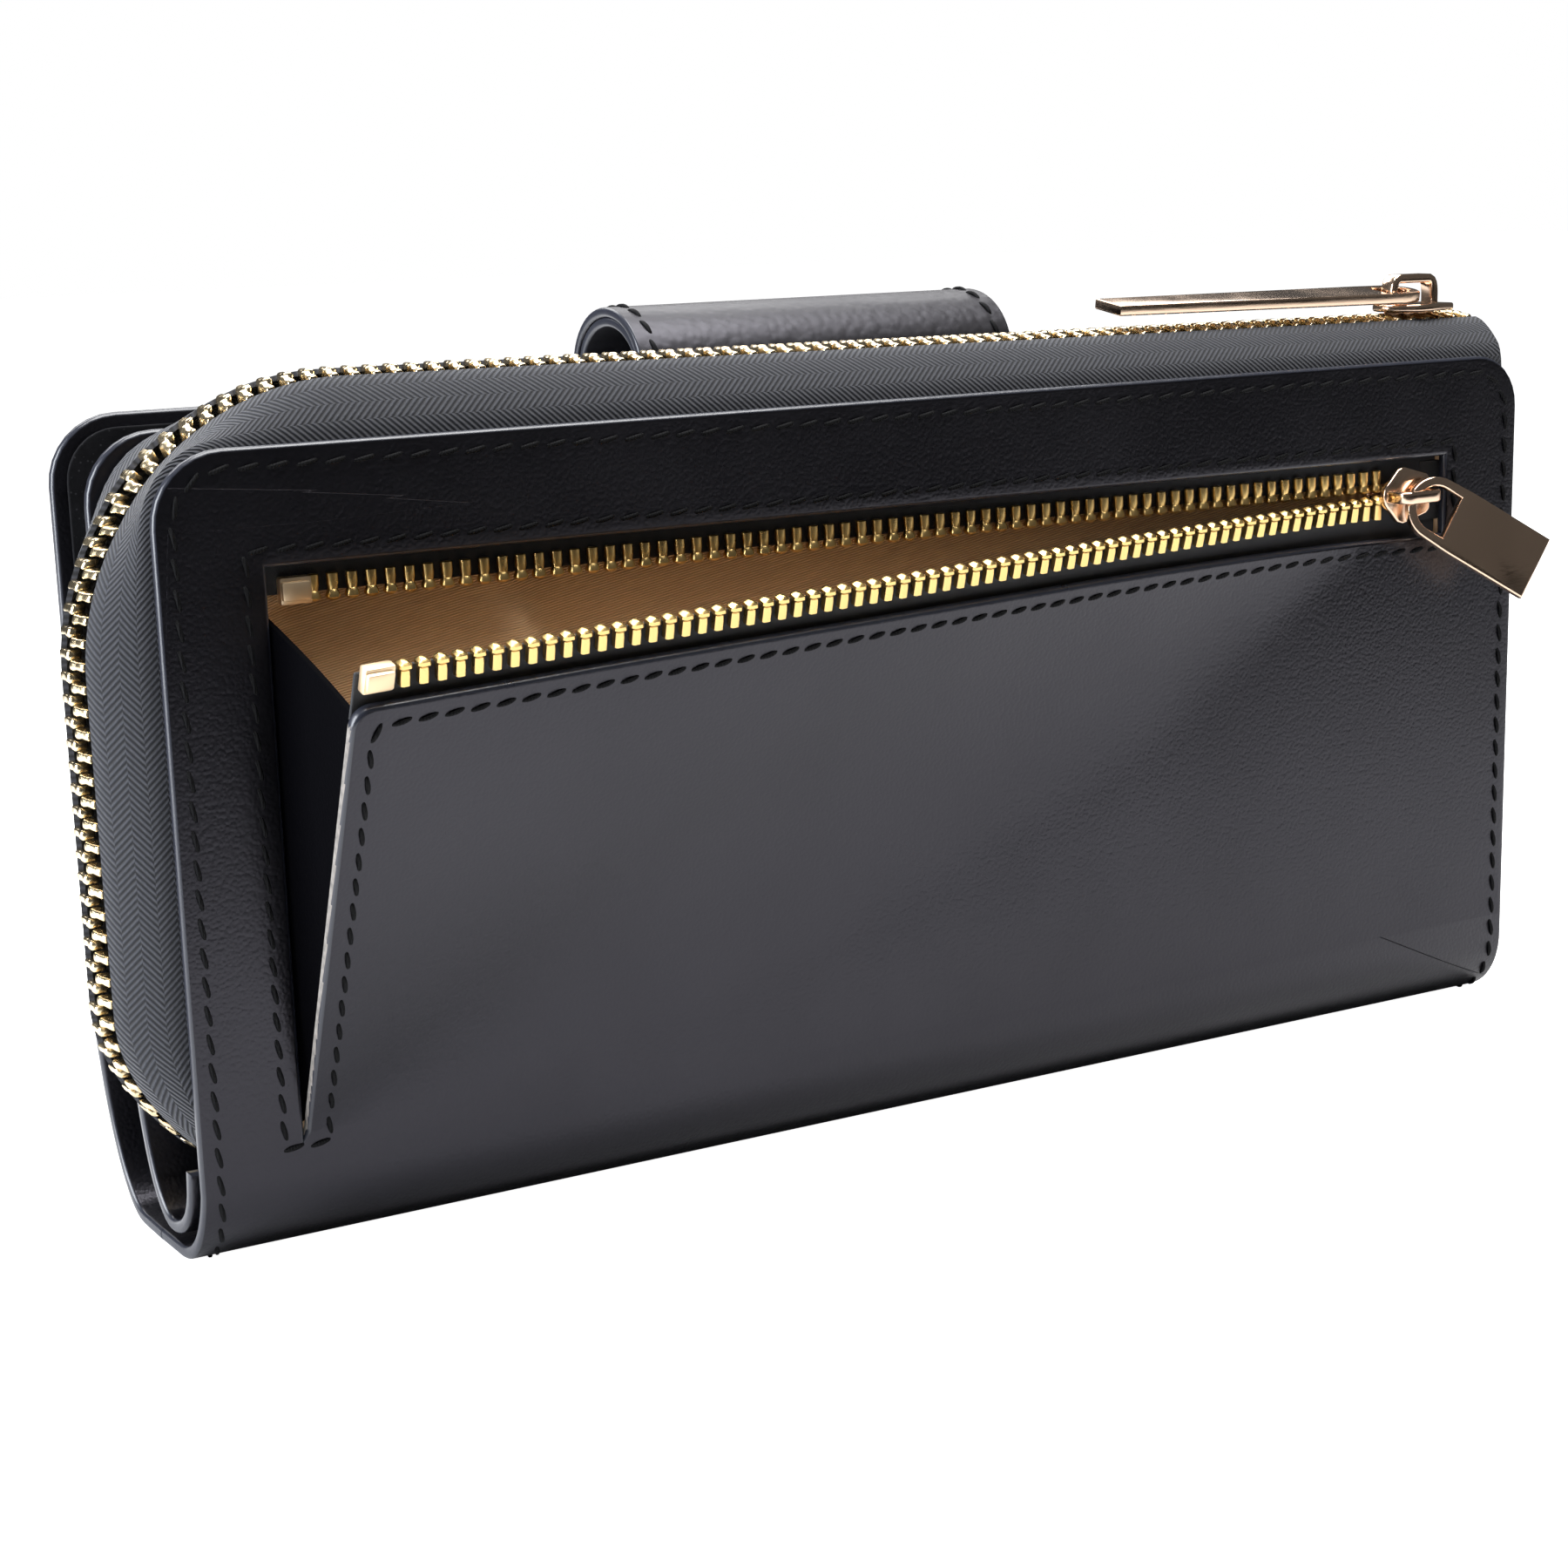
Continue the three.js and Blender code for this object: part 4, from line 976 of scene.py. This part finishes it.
def zip_tape(name, line, body, node):
    """A tape whose section is a line of (rise, y, share of the crest's lean)."""
    line = soften([(rise * MM, y * MM, crest) for rise, y, crest in line])
    slope = np.gradient(line[:, :2], axis=0)
    slope /= np.linalg.norm(slope, axis=1)[:, None]
    inner = line.copy()
    inner[:, 0] -= np.abs(slope[:, 1]) * TAPE
    inner[:, 1] += np.sign(slope[:, 1]) * slope[:, 0] * TAPE
    steps = np.linalg.norm(np.diff(line[:, :2], axis=0), axis=1)
    width = np.concatenate([[0], np.cumsum(steps)])
    ring = np.vstack([line, inner[::-1]])
    across = np.concatenate([width, width[::-1]])
    runs = np.linspace(0, zip_length, 150)
    mesh = rings_mesh(name, [[on_zip(-run, y, rise, crest) for rise, y, crest in ring] for run in runs])
    flat = mesh.uv_layers.new(name="flat")
    for loop in mesh.loops:
        at, i = divmod(loop.vertex_index, len(ring))
        flat.data[loop.index].uv = (runs[at], across[i])
    mesh.set_sharp_from_angle(angle=math.radians(50))
    dress(name, mesh, "black_zip_tape", [black_tape], body=body, nodes=(node,))


NEAR_LINE = [(-6.5, -13.6, 0), (0.5, -13.4, 0), (3.4, -11.6, 0.5), (5.4, -9.6, 0.9), (5.9, -8.2, 1)]
FAR_LINE = [(5.9, -1.8, 1), (5.4, -0.9, 0.9), (3.4, 0.6, 0.5), (0.5, 1.2, 0), (-6.5, 1.3, 0)]
zip_tape("near_tape", NEAR_LINE, "back_half", "zip_tape_near")
zip_tape("far_tape", FAR_LINE, "divider", "zip_tape_far")


def polished(name, colour, rough):
    """Plated metal: bright, with faint handling smudges and hairline scratches."""
    material, tree, shader = new_material(name)
    spot = put(tree, "ShaderNodeTexCoord").outputs["Object"]
    smudge = put(tree, "ShaderNodeTexNoise", {"Vector": spot, "Scale": 120.0, "Detail": 4.0})
    stretch = put(tree, "ShaderNodeMapping", {"Vector": spot, "Scale": (120.0, 900.0, 900.0)})
    hair = put(tree, "ShaderNodeTexNoise", {"Vector": stretch.outputs[0], "Scale": 3.0, "Detail": 3.0})
    tone = put(tree, "ShaderNodeMapRange", {"Value": smudge.outputs["Fac"], "From Min": 0.3,
                                            "From Max": 0.7, "To Min": rough[0], "To Max": rough[1]})
    tree.links.new(tone.outputs[0], shader.inputs["Roughness"])
    add_relief(tree, shader, hair.outputs["Fac"], Distance=0.00002, Strength=0.35)
    tint = mix_tones(tree, smudge.outputs["Fac"], [0.88 * c for c in colour], colour)
    tree.links.new(tint, shader.inputs["Base Color"])
    shader.inputs["Metallic"].default_value = 1.0
    return material


pale_gold = polished("pale_gold_teeth", (0.95, 0.78, 0.5), (0.16, 0.3))
yellow_gold = polished("gold_teeth", (0.9, 0.62, 0.24), (0.22, 0.36))
rose_gold = polished("rose_gold", (0.93, 0.68, 0.5), (0.1, 0.22))
satin_gold = polished("satin_gold", (0.92, 0.7, 0.45), (0.36, 0.46))


def block(name, size, round_off, segments=2):
    """A block with rounded edges, its middle at 0."""
    work = bmesh.new()
    bmesh.ops.create_cube(work, size=1)
    bmesh.ops.scale(work, vec=size, verts=work.verts)
    bmesh.ops.bevel(work, geom=work.edges[:], offset=round_off, segments=segments, profile=0.5,
                    affect="EDGES")
    mesh = bpy.data.meshes.new(name)
    work.to_mesh(mesh)
    work.free()
    return mesh


def zip_tooth(side):
    """A cast tooth: a rounded head towards the other row and a narrower root in the tape."""
    rings = []
    for y, long, high in [(-1.45, 0.42, 0.5), (-1.3, 0.5, 0.6), (-0.35, 0.5, 0.62), (0.2, 0.42, 0.66),
                          (0.55, 0.5, 0.82), (1.05, 0.6, 0.85), (1.35, 0.5, 0.72), (1.5, 0.25, 0.45)]:
        ring = outline_box(-long * MM, -high * MM, long * MM, high * MM, [0.7 * long * MM] * 4)[::3]
        rings.append([(x, side * y * MM, z) for x, z in ring])
    return rings_mesh("zip_tooth", rings)


def zip_row(name, y, side, start, body, node):
    line = [(-zip_length + 1 * MM, y, ZIP["rise"]), (-1 * MM, y, ZIP["rise"])]
    teeth = row_along(name, stitch_row, [line], zip_tooth(side), Pitch=ZIP_PITCH, Start=start,
                      Second=(0.0, 0.0, 1.0), Material=pale_gold)
    bend(teeth, on_zip, smooth=35)
    dress(name, teeth, "gold_teeth", [], body=body, nodes=(node,))


zip_row("near_teeth", -6.5 * MM, 1, 0.0, "back_half", "zip_chain_near")
zip_row("far_teeth", -3.5 * MM, -1, ZIP_PITCH / 2, "divider", "zip_chain_far")

# ---- coin pocket: twill bag, flap lining, gusset, tapes, teeth and stops ----
# A shallow cloth tray hangs behind the L cut. A yellow gold zip closes the cut's top edge on
# the flap's, and a leather triangle fills the left side when the flap stands open.
gold_twill = woven("gold_twill", (0.55, 0.35, 0.19), (0.92, 0.66, 0.4), (0.12, 1.0, 0.0), 0.0,
                   0.55 * MM, 0.00012)
bag_low, bag_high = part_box("coin_bag")
BAG_CLOTH = 0.5 * MM
BAG_CREASE_X = -50 * MM


def in_bag(u, v, w):
    """The cloth leaves its sewn rim and hollows back, with a soft crease near its left end."""
    inset = min(u - bag_low.x, bag_high.x - u, v - bag_low.z, bag_high.z - v)
    sink = min(max(inset / (5 * MM), 0), 1)
    hollow = (bag_high.y - bag_low.y - BAG_CLOTH) * sink * sink * (3 - 2 * sink)
    crease = 1.5 * MM * math.exp(-(((u - BAG_CREASE_X) + 0.35 * (v - 60 * MM)) / (2.2 * MM)) ** 2) * sink
    return Vector((u, bag_low.y + hollow - crease - w, v))


bag_mesh = slab("coin_bag_cloth", [outline_box(bag_low.x, bag_low.z, bag_high.x, bag_high.z, [2 * MM] * 4)],
                BAG_CLOTH, 0.2 * MM)
rim_cuts = [(bag_low.x + i * MM, bag_high.x - i * MM) for i in range(1, 6)]
rule(bag_mesh, grid_cuts((bag_low.x, bag_low.z), (bag_high.x, bag_high.z), 3 * MM)
     + [((u, 0), (1, 0)) for pair in rim_cuts for u in pair]
     + [((0, v), (0, 1)) for i in range(1, 6) for v in (bag_low.z + i * MM, bag_high.z - i * MM)])
keep_flat_place(bag_mesh)
bend(bag_mesh, in_bag)
coin_bag = dress("coin_bag_cloth", bag_mesh, "gold_twill", [gold_twill, gold_twill], body="back_half",
                 nodes=("coin_bag",))

LINING_DEPTH = 1.7 * MM
LINING_INSET = 1.5 * MM
lining_left = FLAP["left"] + LINING_INSET
lining_top = FLAP["top"] - LINING_INSET
lining_right = FOLD_END.x - 20 * MM
lining_rim = [(lining_left, WINDOW["foot"] + 4 * MM), (lining_right, lining_top), (lining_left, lining_top)]
lining_mesh = slab("flap_lining", [lining_rim], BAG_CLOTH, 0.2 * MM)
rule(lining_mesh, grid_cuts((lining_left, WINDOW["foot"]), (lining_right, lining_top), 6 * MM) + fold_cuts)
keep_flat_place(lining_mesh)
bend(lining_mesh, lambda u, v, w: on_flap(u, v, w - LINING_DEPTH))
flap_lining = dress("flap_lining", lining_mesh, "gold_twill", [gold_twill, gold_twill],
                    nodes=("coin_flap_lining",))
bend_with_flap(flap_lining)


GUSSET_DEPTH = 1.9 * MM
GUSSET_HIDE = 0.6 * MM
GUSSET_STEPS = 12
GUSSET_ROWS = 27


def gusset_place(across, up):
    """A leather triangle from the frame's cut edge to the flap's left edge, bellied inwards."""
    at_frame = Vector((WINDOW["left"] - 0.2 * MM, BACK_Y + GUSSET_DEPTH, WINDOW["foot"] + (1 + 57 * up) * MM))
    at_flap = on_flap(FLAP["left"] + 1.1 * MM, WINDOW["foot"] + (1.5 + 51 * up) * MM, -GUSSET_DEPTH)
    belly = 0.3 * MM * math.sin(math.pi * across) * up
    return at_frame.lerp(at_flap, across) + Vector((belly, 0, 0))


gusset_rings = []
for step in range(GUSSET_ROWS + 1):
    up = step / GUSSET_ROWS
    outer = [gusset_place(i / GUSSET_STEPS, up) for i in range(GUSSET_STEPS + 1)]
    inner = [place + Vector((GUSSET_HIDE, 0, 0)) for place in outer]
    gusset_rings.append(outer + inner[::-1])
gusset_mesh = rings_mesh("coin_gusset_leather", gusset_rings)
gusset_mesh.uv_layers.new(name="flat")
gusset_mesh.set_sharp_from_angle(angle=math.radians(50))
# Painted shade: the gusset gets a darker copy of the hide with almost no shine, so it reads as shaded in its
# recess beside the flap.
gusset_hide_painted_shade = leather("gusset_hide_painted_shade", colour=(0.001, 0.001, 0.0015), rough=(0.6, 0.7), shine=0.02)
coin_gusset = dress("coin_gusset_leather", gusset_mesh, "black_leather", [gusset_hide_painted_shade],
                    nodes=("coin_gusset",))
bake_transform(coin_gusset)

COIN_PITCH = 2.2 * MM
COIN_CHAIN_Z = 72.9 * MM
COIN_ROW = 3 * MM
COIN_OFFSET = 1.85 * MM
COIN_LEFT = -77.5 * MM
COIN_RIGHT = 71.5 * MM
COIN_DEPTH = 1.45 * MM
TAPE_REACH = 1.4 * MM
TAPE_DEPTH = 2 * MM
tape_right = WINDOW["right"] + 2 * MM
upper_tape_low, upper_tape_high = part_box("coin_tape_upper")


def coin_tape(name, low, high, place, node):
    """A flat strip of tape behind the leather's edge, its own edge woven to a bead."""
    mesh = slab(name, [outline_box(*low, *high, [0.2 * MM] * 4)], 0.5 * MM, 0.2 * MM)
    rule(mesh, grid_cuts(low, high, 3 * MM) + fold_cuts)
    keep_flat_place(mesh)
    bend(mesh, place)
    return dress(name, mesh, "black_zip_tape", [black_tape, black_tape], nodes=(node,))


upper_tape = coin_tape("coin_upper_tape", (upper_tape_low.x, COIN_CHAIN_Z + TAPE_REACH),
                       (tape_right, upper_tape_high.z),
                       lambda u, v, w: on_panel(u, v, w - TAPE_DEPTH), "coin_tape_upper")
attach(upper_tape, "back_half")
lower_tape = coin_tape("coin_lower_tape", (WINDOW["left"] + 1.2 * MM, FLAP["top"] - 1.2 * MM),
                       (tape_right, COIN_CHAIN_Z - TAPE_REACH),
                       lambda u, v, w: on_flap(u, v, w - TAPE_DEPTH), "coin_tape_lower")
bend_with_flap(lower_tape)
end_rim = outline_box(79.6 * MM, COIN_CHAIN_Z - 4 * MM, tape_right, COIN_CHAIN_Z + 4 * MM, [0] * 4)
end_patch = slab("coin_zip_end", [end_rim], 0.4 * MM, 0.15 * MM)
keep_flat_place(end_patch)
bend(end_patch, lambda u, v, w: on_panel(u, v, w - 1.8 * MM))
dress("coin_zip_end", end_patch, "black_zip_tape", [black_tape, black_tape], body="back_half")


# Each tooth's sections from its root to its head: how far up, half its width and half its depth.
BALL_TOOTH = [(1.55, 0.5, 0.3), (1.45, 0.66, 0.55), (0.3, 0.64, 0.6), (-0.3, 0.54, 0.5),
              (-0.65, 0.7, 0.75), (-1.1, 0.8, 0.8), (-1.35, 0.6, 0.6), (-1.48, 0.25, 0.3)]
ROOF_TOOTH = [(-1.55, 0.5, 0.3), (-1.45, 0.62, 0.55), (-0.2, 0.6, 0.6), (0.4, 0.56, 0.55),
              (0.75, 0.82, 0.78), (1.15, 0.76, 0.74), (1.36, 0.4, 0.5), (1.47, 0.16, 0.3)]


def coin_tooth(sections, lean, corner):
    """A pressed wire tooth: a tall flat bar, a waist, and its head at the meeting edge."""
    rings = []
    for v, wide, deep in sections:
        ring = outline_box(-wide * MM, -deep * MM, wide * MM, deep * MM, [corner * wide * MM] * 4)[::3]
        rings.append([(x + lean * v * MM, v * MM, z) for x, z in ring])
    return rings_mesh("coin_tooth", rings)


def coin_row(name, middle, item, start):
    line = [(COIN_LEFT, middle, -COIN_DEPTH), (COIN_RIGHT, middle, -COIN_DEPTH)]
    return row_along(name, stitch_row, [line], item, Pitch=COIN_PITCH, Start=start,
                     Second=(0.0, 0.0, 1.0), Material=yellow_gold)


upper_teeth = coin_row("coin_upper_teeth", COIN_CHAIN_Z + COIN_OFFSET, coin_tooth(BALL_TOOTH, 0.0, 0.8), 0.0)
bend(upper_teeth, on_panel, smooth=35)
dress("coin_upper_teeth", upper_teeth, "gold_teeth", [], body="back_half", nodes=("coin_chain_upper",))
lower_teeth = coin_row("coin_lower_teeth", COIN_CHAIN_Z - COIN_OFFSET, coin_tooth(ROOF_TOOTH, -0.12, 0.6),
                       COIN_PITCH / 2)
bend(lower_teeth, on_flap, smooth=35)
lower_row = dress("coin_lower_teeth", lower_teeth, "gold_teeth", [], nodes=("coin_chain_lower",))
bend_with_flap(lower_row)


def merge(name, meshes):
    work = bmesh.new()
    for mesh in meshes:
        work.from_mesh(mesh)
    joined = bpy.data.meshes.new(name)
    work.to_mesh(joined)
    work.free()
    return joined


def coin_stop(name, middle, place, node):
    """A folded metal block at the end of the row, a wide foot with a narrower step on it."""
    foot = block(name, (3.6 * MM, COIN_ROW, 1.4 * MM), 0.25 * MM)
    foot.transform(Matrix.Translation((COIN_LEFT - 2.1 * MM, middle, -1.4 * MM)))
    step = block(name + "_step", (3.2 * MM, 2.1 * MM, 0.9 * MM), 0.22 * MM)
    step.transform(Matrix.Translation((COIN_LEFT - 2.2 * MM, middle, -0.6 * MM)))
    mesh = merge(name, [foot, step])
    bend(mesh, place, smooth=35)
    return dress(name, mesh, "gold_teeth", [satin_gold], nodes=(node,))


upper_stop = coin_stop("coin_upper_stop", COIN_CHAIN_Z + COIN_OFFSET, on_panel, "coin_stop_upper")
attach(upper_stop, "back_half")
lower_stop = coin_stop("coin_lower_stop", COIN_CHAIN_Z - COIN_OFFSET, on_flap, "coin_stop_lower")
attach(lower_stop, "coin_flap")

# ---- sliders: plates, post and bridge of each zip's slider ----
# Die-cast metal, plated rose gold and polished. Two plates hold the rows, a thin post parts
# them, and a raised bridge keeps the puller's ring.


def bar_along(name, line, wide, thick, round_off):
    """A bar of rounded section bent along (x, z) points, y across it."""
    at, length = section(line)
    rings = []
    for run in np.linspace(0, length, 28):
        x, z, dx, dz = at(run)
        profile = outline_box(-wide / 2, -thick / 2, wide / 2, thick / 2, [round_off] * 4)[::2]
        rings.append([(x - dz * up, side, z + dx * up) for side, up in profile])
    return rings_mesh(name, rings)


def slider_meshes(long, wide, narrow, chain, bridge, nose):
    """The slider in its own frame: X along the chain, Y across it, Z out of the wallet."""
    half = long / 2
    clear = chain / 2 + 0.3
    plan = (arc(-half + nose, 0, nose, 125, 235, 8)
            + [(-half + 0.3 * long, -wide / 2 + 0.3), (-half + 0.42 * long, -wide / 2)]
            + [(half - 0.6, -narrow / 2), (half, -narrow / 2 + 0.6)]
            + [(half, narrow / 2 - 0.6), (half - 0.6, narrow / 2)]
            + [(-half + 0.42 * long, wide / 2), (-half + 0.3 * long, wide / 2 - 0.3)])
    top = slab("plate", [[(x * MM, y * MM) for x, y in plan]], 1 * MM, 0.3 * MM)
    top.transform(Matrix.Translation((0, 0, (clear + 1) * MM)))
    foot = slab("foot", [[(x * MM, 0.8 * y * MM) for x, y in plan]], 1 * MM, 0.3 * MM)
    foot.transform(Matrix.Translation((0, 0, -clear * MM)))
    post = block("post", (0.8 * long * MM, 0.24 * MM, (2 * clear + 0.4) * MM), 0.05 * MM, 1)
    reach, rise, bar, width = bridge
    base = clear + 0.7
    crown = base + rise - bar / 2 + 0.05
    left, right = -reach / 2 + bar / 2, reach / 2 - bar / 2
    arch = soften([(left, base), (left, base + rise * 0.6), (left + 0.5, crown), (left + 1.6, crown),
                   (right - 1.6, crown), (right - 0.5, crown), (right, base + rise * 0.6), (right, base)])
    strap = bar_along("bridge", [(x * MM, z * MM) for x, z in arch], width * MM, bar * MM, 0.32 * MM)
    return [top, foot, post, strap]


def keep_one_material(mesh):
    for face in mesh.polygons:
        face.material_index = 0


def slider(name, place, body, node, **sizes):
    mesh = merge(name, slider_meshes(**sizes))
    mesh.transform(place)
    mesh.shade_smooth()
    mesh.set_sharp_from_angle(angle=math.radians(50))
    keep_one_material(mesh)
    dress(name, mesh, "rose_gold", [rose_gold], body=body, nodes=(node,))


MAIN_SLIDER_X = 84.8 * MM
COIN_SLIDER_X = 75.2 * MM
main_crest = BACK_TOP + ZIP["rise"] + ZIP["slope"] * MAIN_SLIDER_X
main_place = (Matrix.Translation((MAIN_SLIDER_X, ZIP["crest_y"], main_crest))
              @ Matrix.Rotation(-math.atan(ZIP["slope"]), 4, "Y"))
slider("main_zip_slider", main_place, "main_slider", "main_slider", long=11, wide=8.6, narrow=6.6,
       chain=1.6, bridge=(8.4, 4.2, 1.2, 2.4), nose=3)
coin_place = (Matrix.Translation((COIN_SLIDER_X, BACK_Y + COIN_DEPTH, COIN_CHAIN_Z))
              @ Matrix.Rotation(math.pi / 2, 4, "X"))
slider("coin_zip_slider", coin_place, "coin_slider", "coin_slider", long=8, wide=7.6, narrow=5.4,
       chain=1.7, bridge=(7.2, 3.8, 1.1, 1.6), nose=2.4)

# ---- pullers: the long bar on the main zip and the plate on the coin zip ----
# Flat plated castings with chamfered rims. A D-shaped ring turns in the slider's bridge.


def puller_mesh(bar, eye, eye_wide, wide, length, thickness, tip):
    """A puller lying along +X from the ring that the bridge holds, its middle at Z 0."""
    eye_half, half = eye_wide / 2, wide / 2
    ring_x = eye_half + bar / 2
    outer = arc(ring_x, 0, eye_half + bar, 90, 270, 16)
    rim = outer + [(eye + bar, -half), (length, -tip / 2), (length, tip / 2), (eye + bar, half)]
    hole = arc(ring_x, 0, eye_half, 90, 270, 16) + [(eye, -eye_half), (eye, eye_half)]
    rims = [[(x * MM, y * MM) for x, y in line] for line in (rim, hole[::-1])]
    mesh = slab("puller", rims, thickness * MM, 0.28 * MM)
    mesh.transform(Matrix.Translation((0, 0, thickness / 2 * MM)))
    return mesh


def puller(name, place, body, node, **sizes):
    mesh = puller_mesh(**sizes)
    keep_one_material(mesh)
    mesh.transform(place)
    mesh.shade_smooth()
    mesh.set_sharp_from_angle(angle=math.radians(30))
    dress(name, mesh, "rose_gold", [rose_gold], body=body, nodes=(node,))


MAIN_PULLER_ROLL = math.radians(8)
COIN_PULLER_TURN = math.radians(-33)
COIN_PULLER_LIFT = math.radians(-16)
hinge_at = {joint["name"]: Vector(joint["pos_m"]) for joint in frame["joints"] if "pos_m" in joint}
main_turn = (Matrix.Translation(hinge_at["main_puller_swing"])
             @ Matrix.Rotation(-math.atan(ZIP["slope"]), 4, "Y")
             @ Matrix.Rotation(MAIN_PULLER_ROLL, 4, "X") @ Matrix.Rotation(math.pi, 4, "Z"))
puller("main_zip_puller", main_turn, "main_puller", "main_puller", bar=1.4, eye=6, eye_wide=4, wide=7,
       length=50.5, thickness=1.4, tip=5.6)
coin_turn = (Matrix.Translation(hinge_at["coin_puller_swing"]) @ Matrix.Rotation(math.pi / 2, 4, "X")
             @ Matrix.Rotation(COIN_PULLER_TURN, 4, "Z") @ Matrix.Rotation(COIN_PULLER_LIFT, 4, "Y"))
puller("coin_zip_puller", coin_turn, "coin_puller", "coin_puller", bar=1.3, eye=6.2, eye_wide=6, wide=9,
       length=20.5, thickness=1.3, tip=9)

# ---- tab: the strap over the top edge ----
# Two layers of pebbled calf glued and sewn together, rooted on the divider. It arches over the
# zip and lies down the cover, where a magnet holds its end.
TAB_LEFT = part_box("tab_strap")[0].x
TAB_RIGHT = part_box("tab_strap")[1].x
TAB_LAYER = 1.2 * MM
TAB_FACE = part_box("tab_strap")[1].y
TAB_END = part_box("tab_strap")[0].z
TAB_SEAM_IN = 2.2 * MM
tab_arch = np.linspace(0.15, 0.93 * math.pi, 22)
tab_line = ([(TAB_FACE, TAB_END), (TAB_FACE, 90 * MM)]
            + [(9.6 * MM + 9.7 * MM * math.cos(a), 94 * MM + 7.8 * MM * math.sin(a)) for a in tab_arch]
            + [(1.2 * MM, 95.2 * MM), (2.6 * MM, 93.4 * MM), (3.5 * MM, 91.3 * MM)])
on_tab, tab_length = follow(tab_line)
tab_hide = leather("tab_hide", cell=0.0011, depth=0.00011, colour=(0.012, 0.0115, 0.012),
                   rough=(0.42, 0.52))
tab_inner_hide = leather("tab_inner_hide", cell=0.0008, colour=(0.03, 0.03, 0.034), rough=(0.5, 0.6))


def tab_layer(name, top, material, inset, nodes=()):
    rim = (arc(-TAB_RIGHT + inset + 3 * MM, 3 * MM + inset, 3 * MM, 180, 270)
           + arc(-TAB_LEFT - inset - 3 * MM, 3 * MM + inset, 3 * MM, 270, 360)
           + [(-TAB_LEFT - inset, tab_length), (-TAB_RIGHT + inset, tab_length)])
    mesh = slab(name, [rim], TAB_LAYER, 0.4 * MM)
    rule(mesh, [((0, v), (0, 1)) for v in np.arange(3 * MM, tab_length, 1 * MM)])
    keep_flat_place(mesh)
    bend(mesh, lambda u, v, w: on_tab(u, v, w - top))
    piece = dress(name, mesh, "black_leather", [material, painted_edge], nodes=nodes)
    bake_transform(piece)


tab_layer("tab_outer", 0.0, tab_hide, 0.0, ("tab_strap",))
tab_layer("tab_inner", TAB_LAYER, tab_inner_hide, 0.25 * MM)
tab_runs = [[(u, 4 * MM), (u, tab_length - 4 * MM)]
            for u in (-TAB_RIGHT + TAB_SEAM_IN, -TAB_LEFT - TAB_SEAM_IN)]
tab_runs.append([(-TAB_RIGHT + 4 * MM, TAB_SEAM_IN), (-TAB_LEFT - 4 * MM, TAB_SEAM_IN)])
tab_sewn = row_along("tab_stitches", stitch_row, tab_runs, stitch_item(BORDER_PITCH), Pitch=BORDER_PITCH,
                     Second=(0.0, 0.0, 1.0), Material=black_thread)
bend(tab_sewn, on_tab, smooth=80)
tab_seam = dress("tab_stitches", tab_sewn, "black_leather", [])
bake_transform(tab_seam)

# ---- snap magnet: the disc in the front cover under the tab's end ----
# A nickelled steel cap with a rolled rim and a shallow dish, let into the cover's leather. Its
# partner is sealed in the tab.
snap_low, snap_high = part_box("cover_magnet")
snap_middle = (snap_low + snap_high) / 2
SNAP_PROFILE = [(0.7, -0.1), (0.8, 0.0), (0.92, 0.0), (0.98, -0.12), (1.0, -0.3), (1.0, -0.5)]
snap_radius = (snap_high.x - snap_low.x) / 2
snap_rings = []
for share, depth in SNAP_PROFILE:
    snap_rings.append([(share * snap_radius * math.cos(a), share * snap_radius * math.sin(a), depth * MM)
                       for a in np.radians(np.arange(0, 360, 8))])
snap_mesh = rings_mesh("snap_cap", snap_rings)
snap_mesh.transform(Matrix.Translation((snap_middle.x, snap_high.y, snap_middle.z))
                    @ Matrix.Rotation(-math.pi / 2, 4, "X"))
snap_mesh.set_sharp_from_angle(angle=math.radians(40))
dress("snap_cap", snap_mesh, "magnet_steel", [polished("nickel", (0.62, 0.62, 0.63), (0.2, 0.35))],
      body="cover_half", nodes=("cover_magnet",))
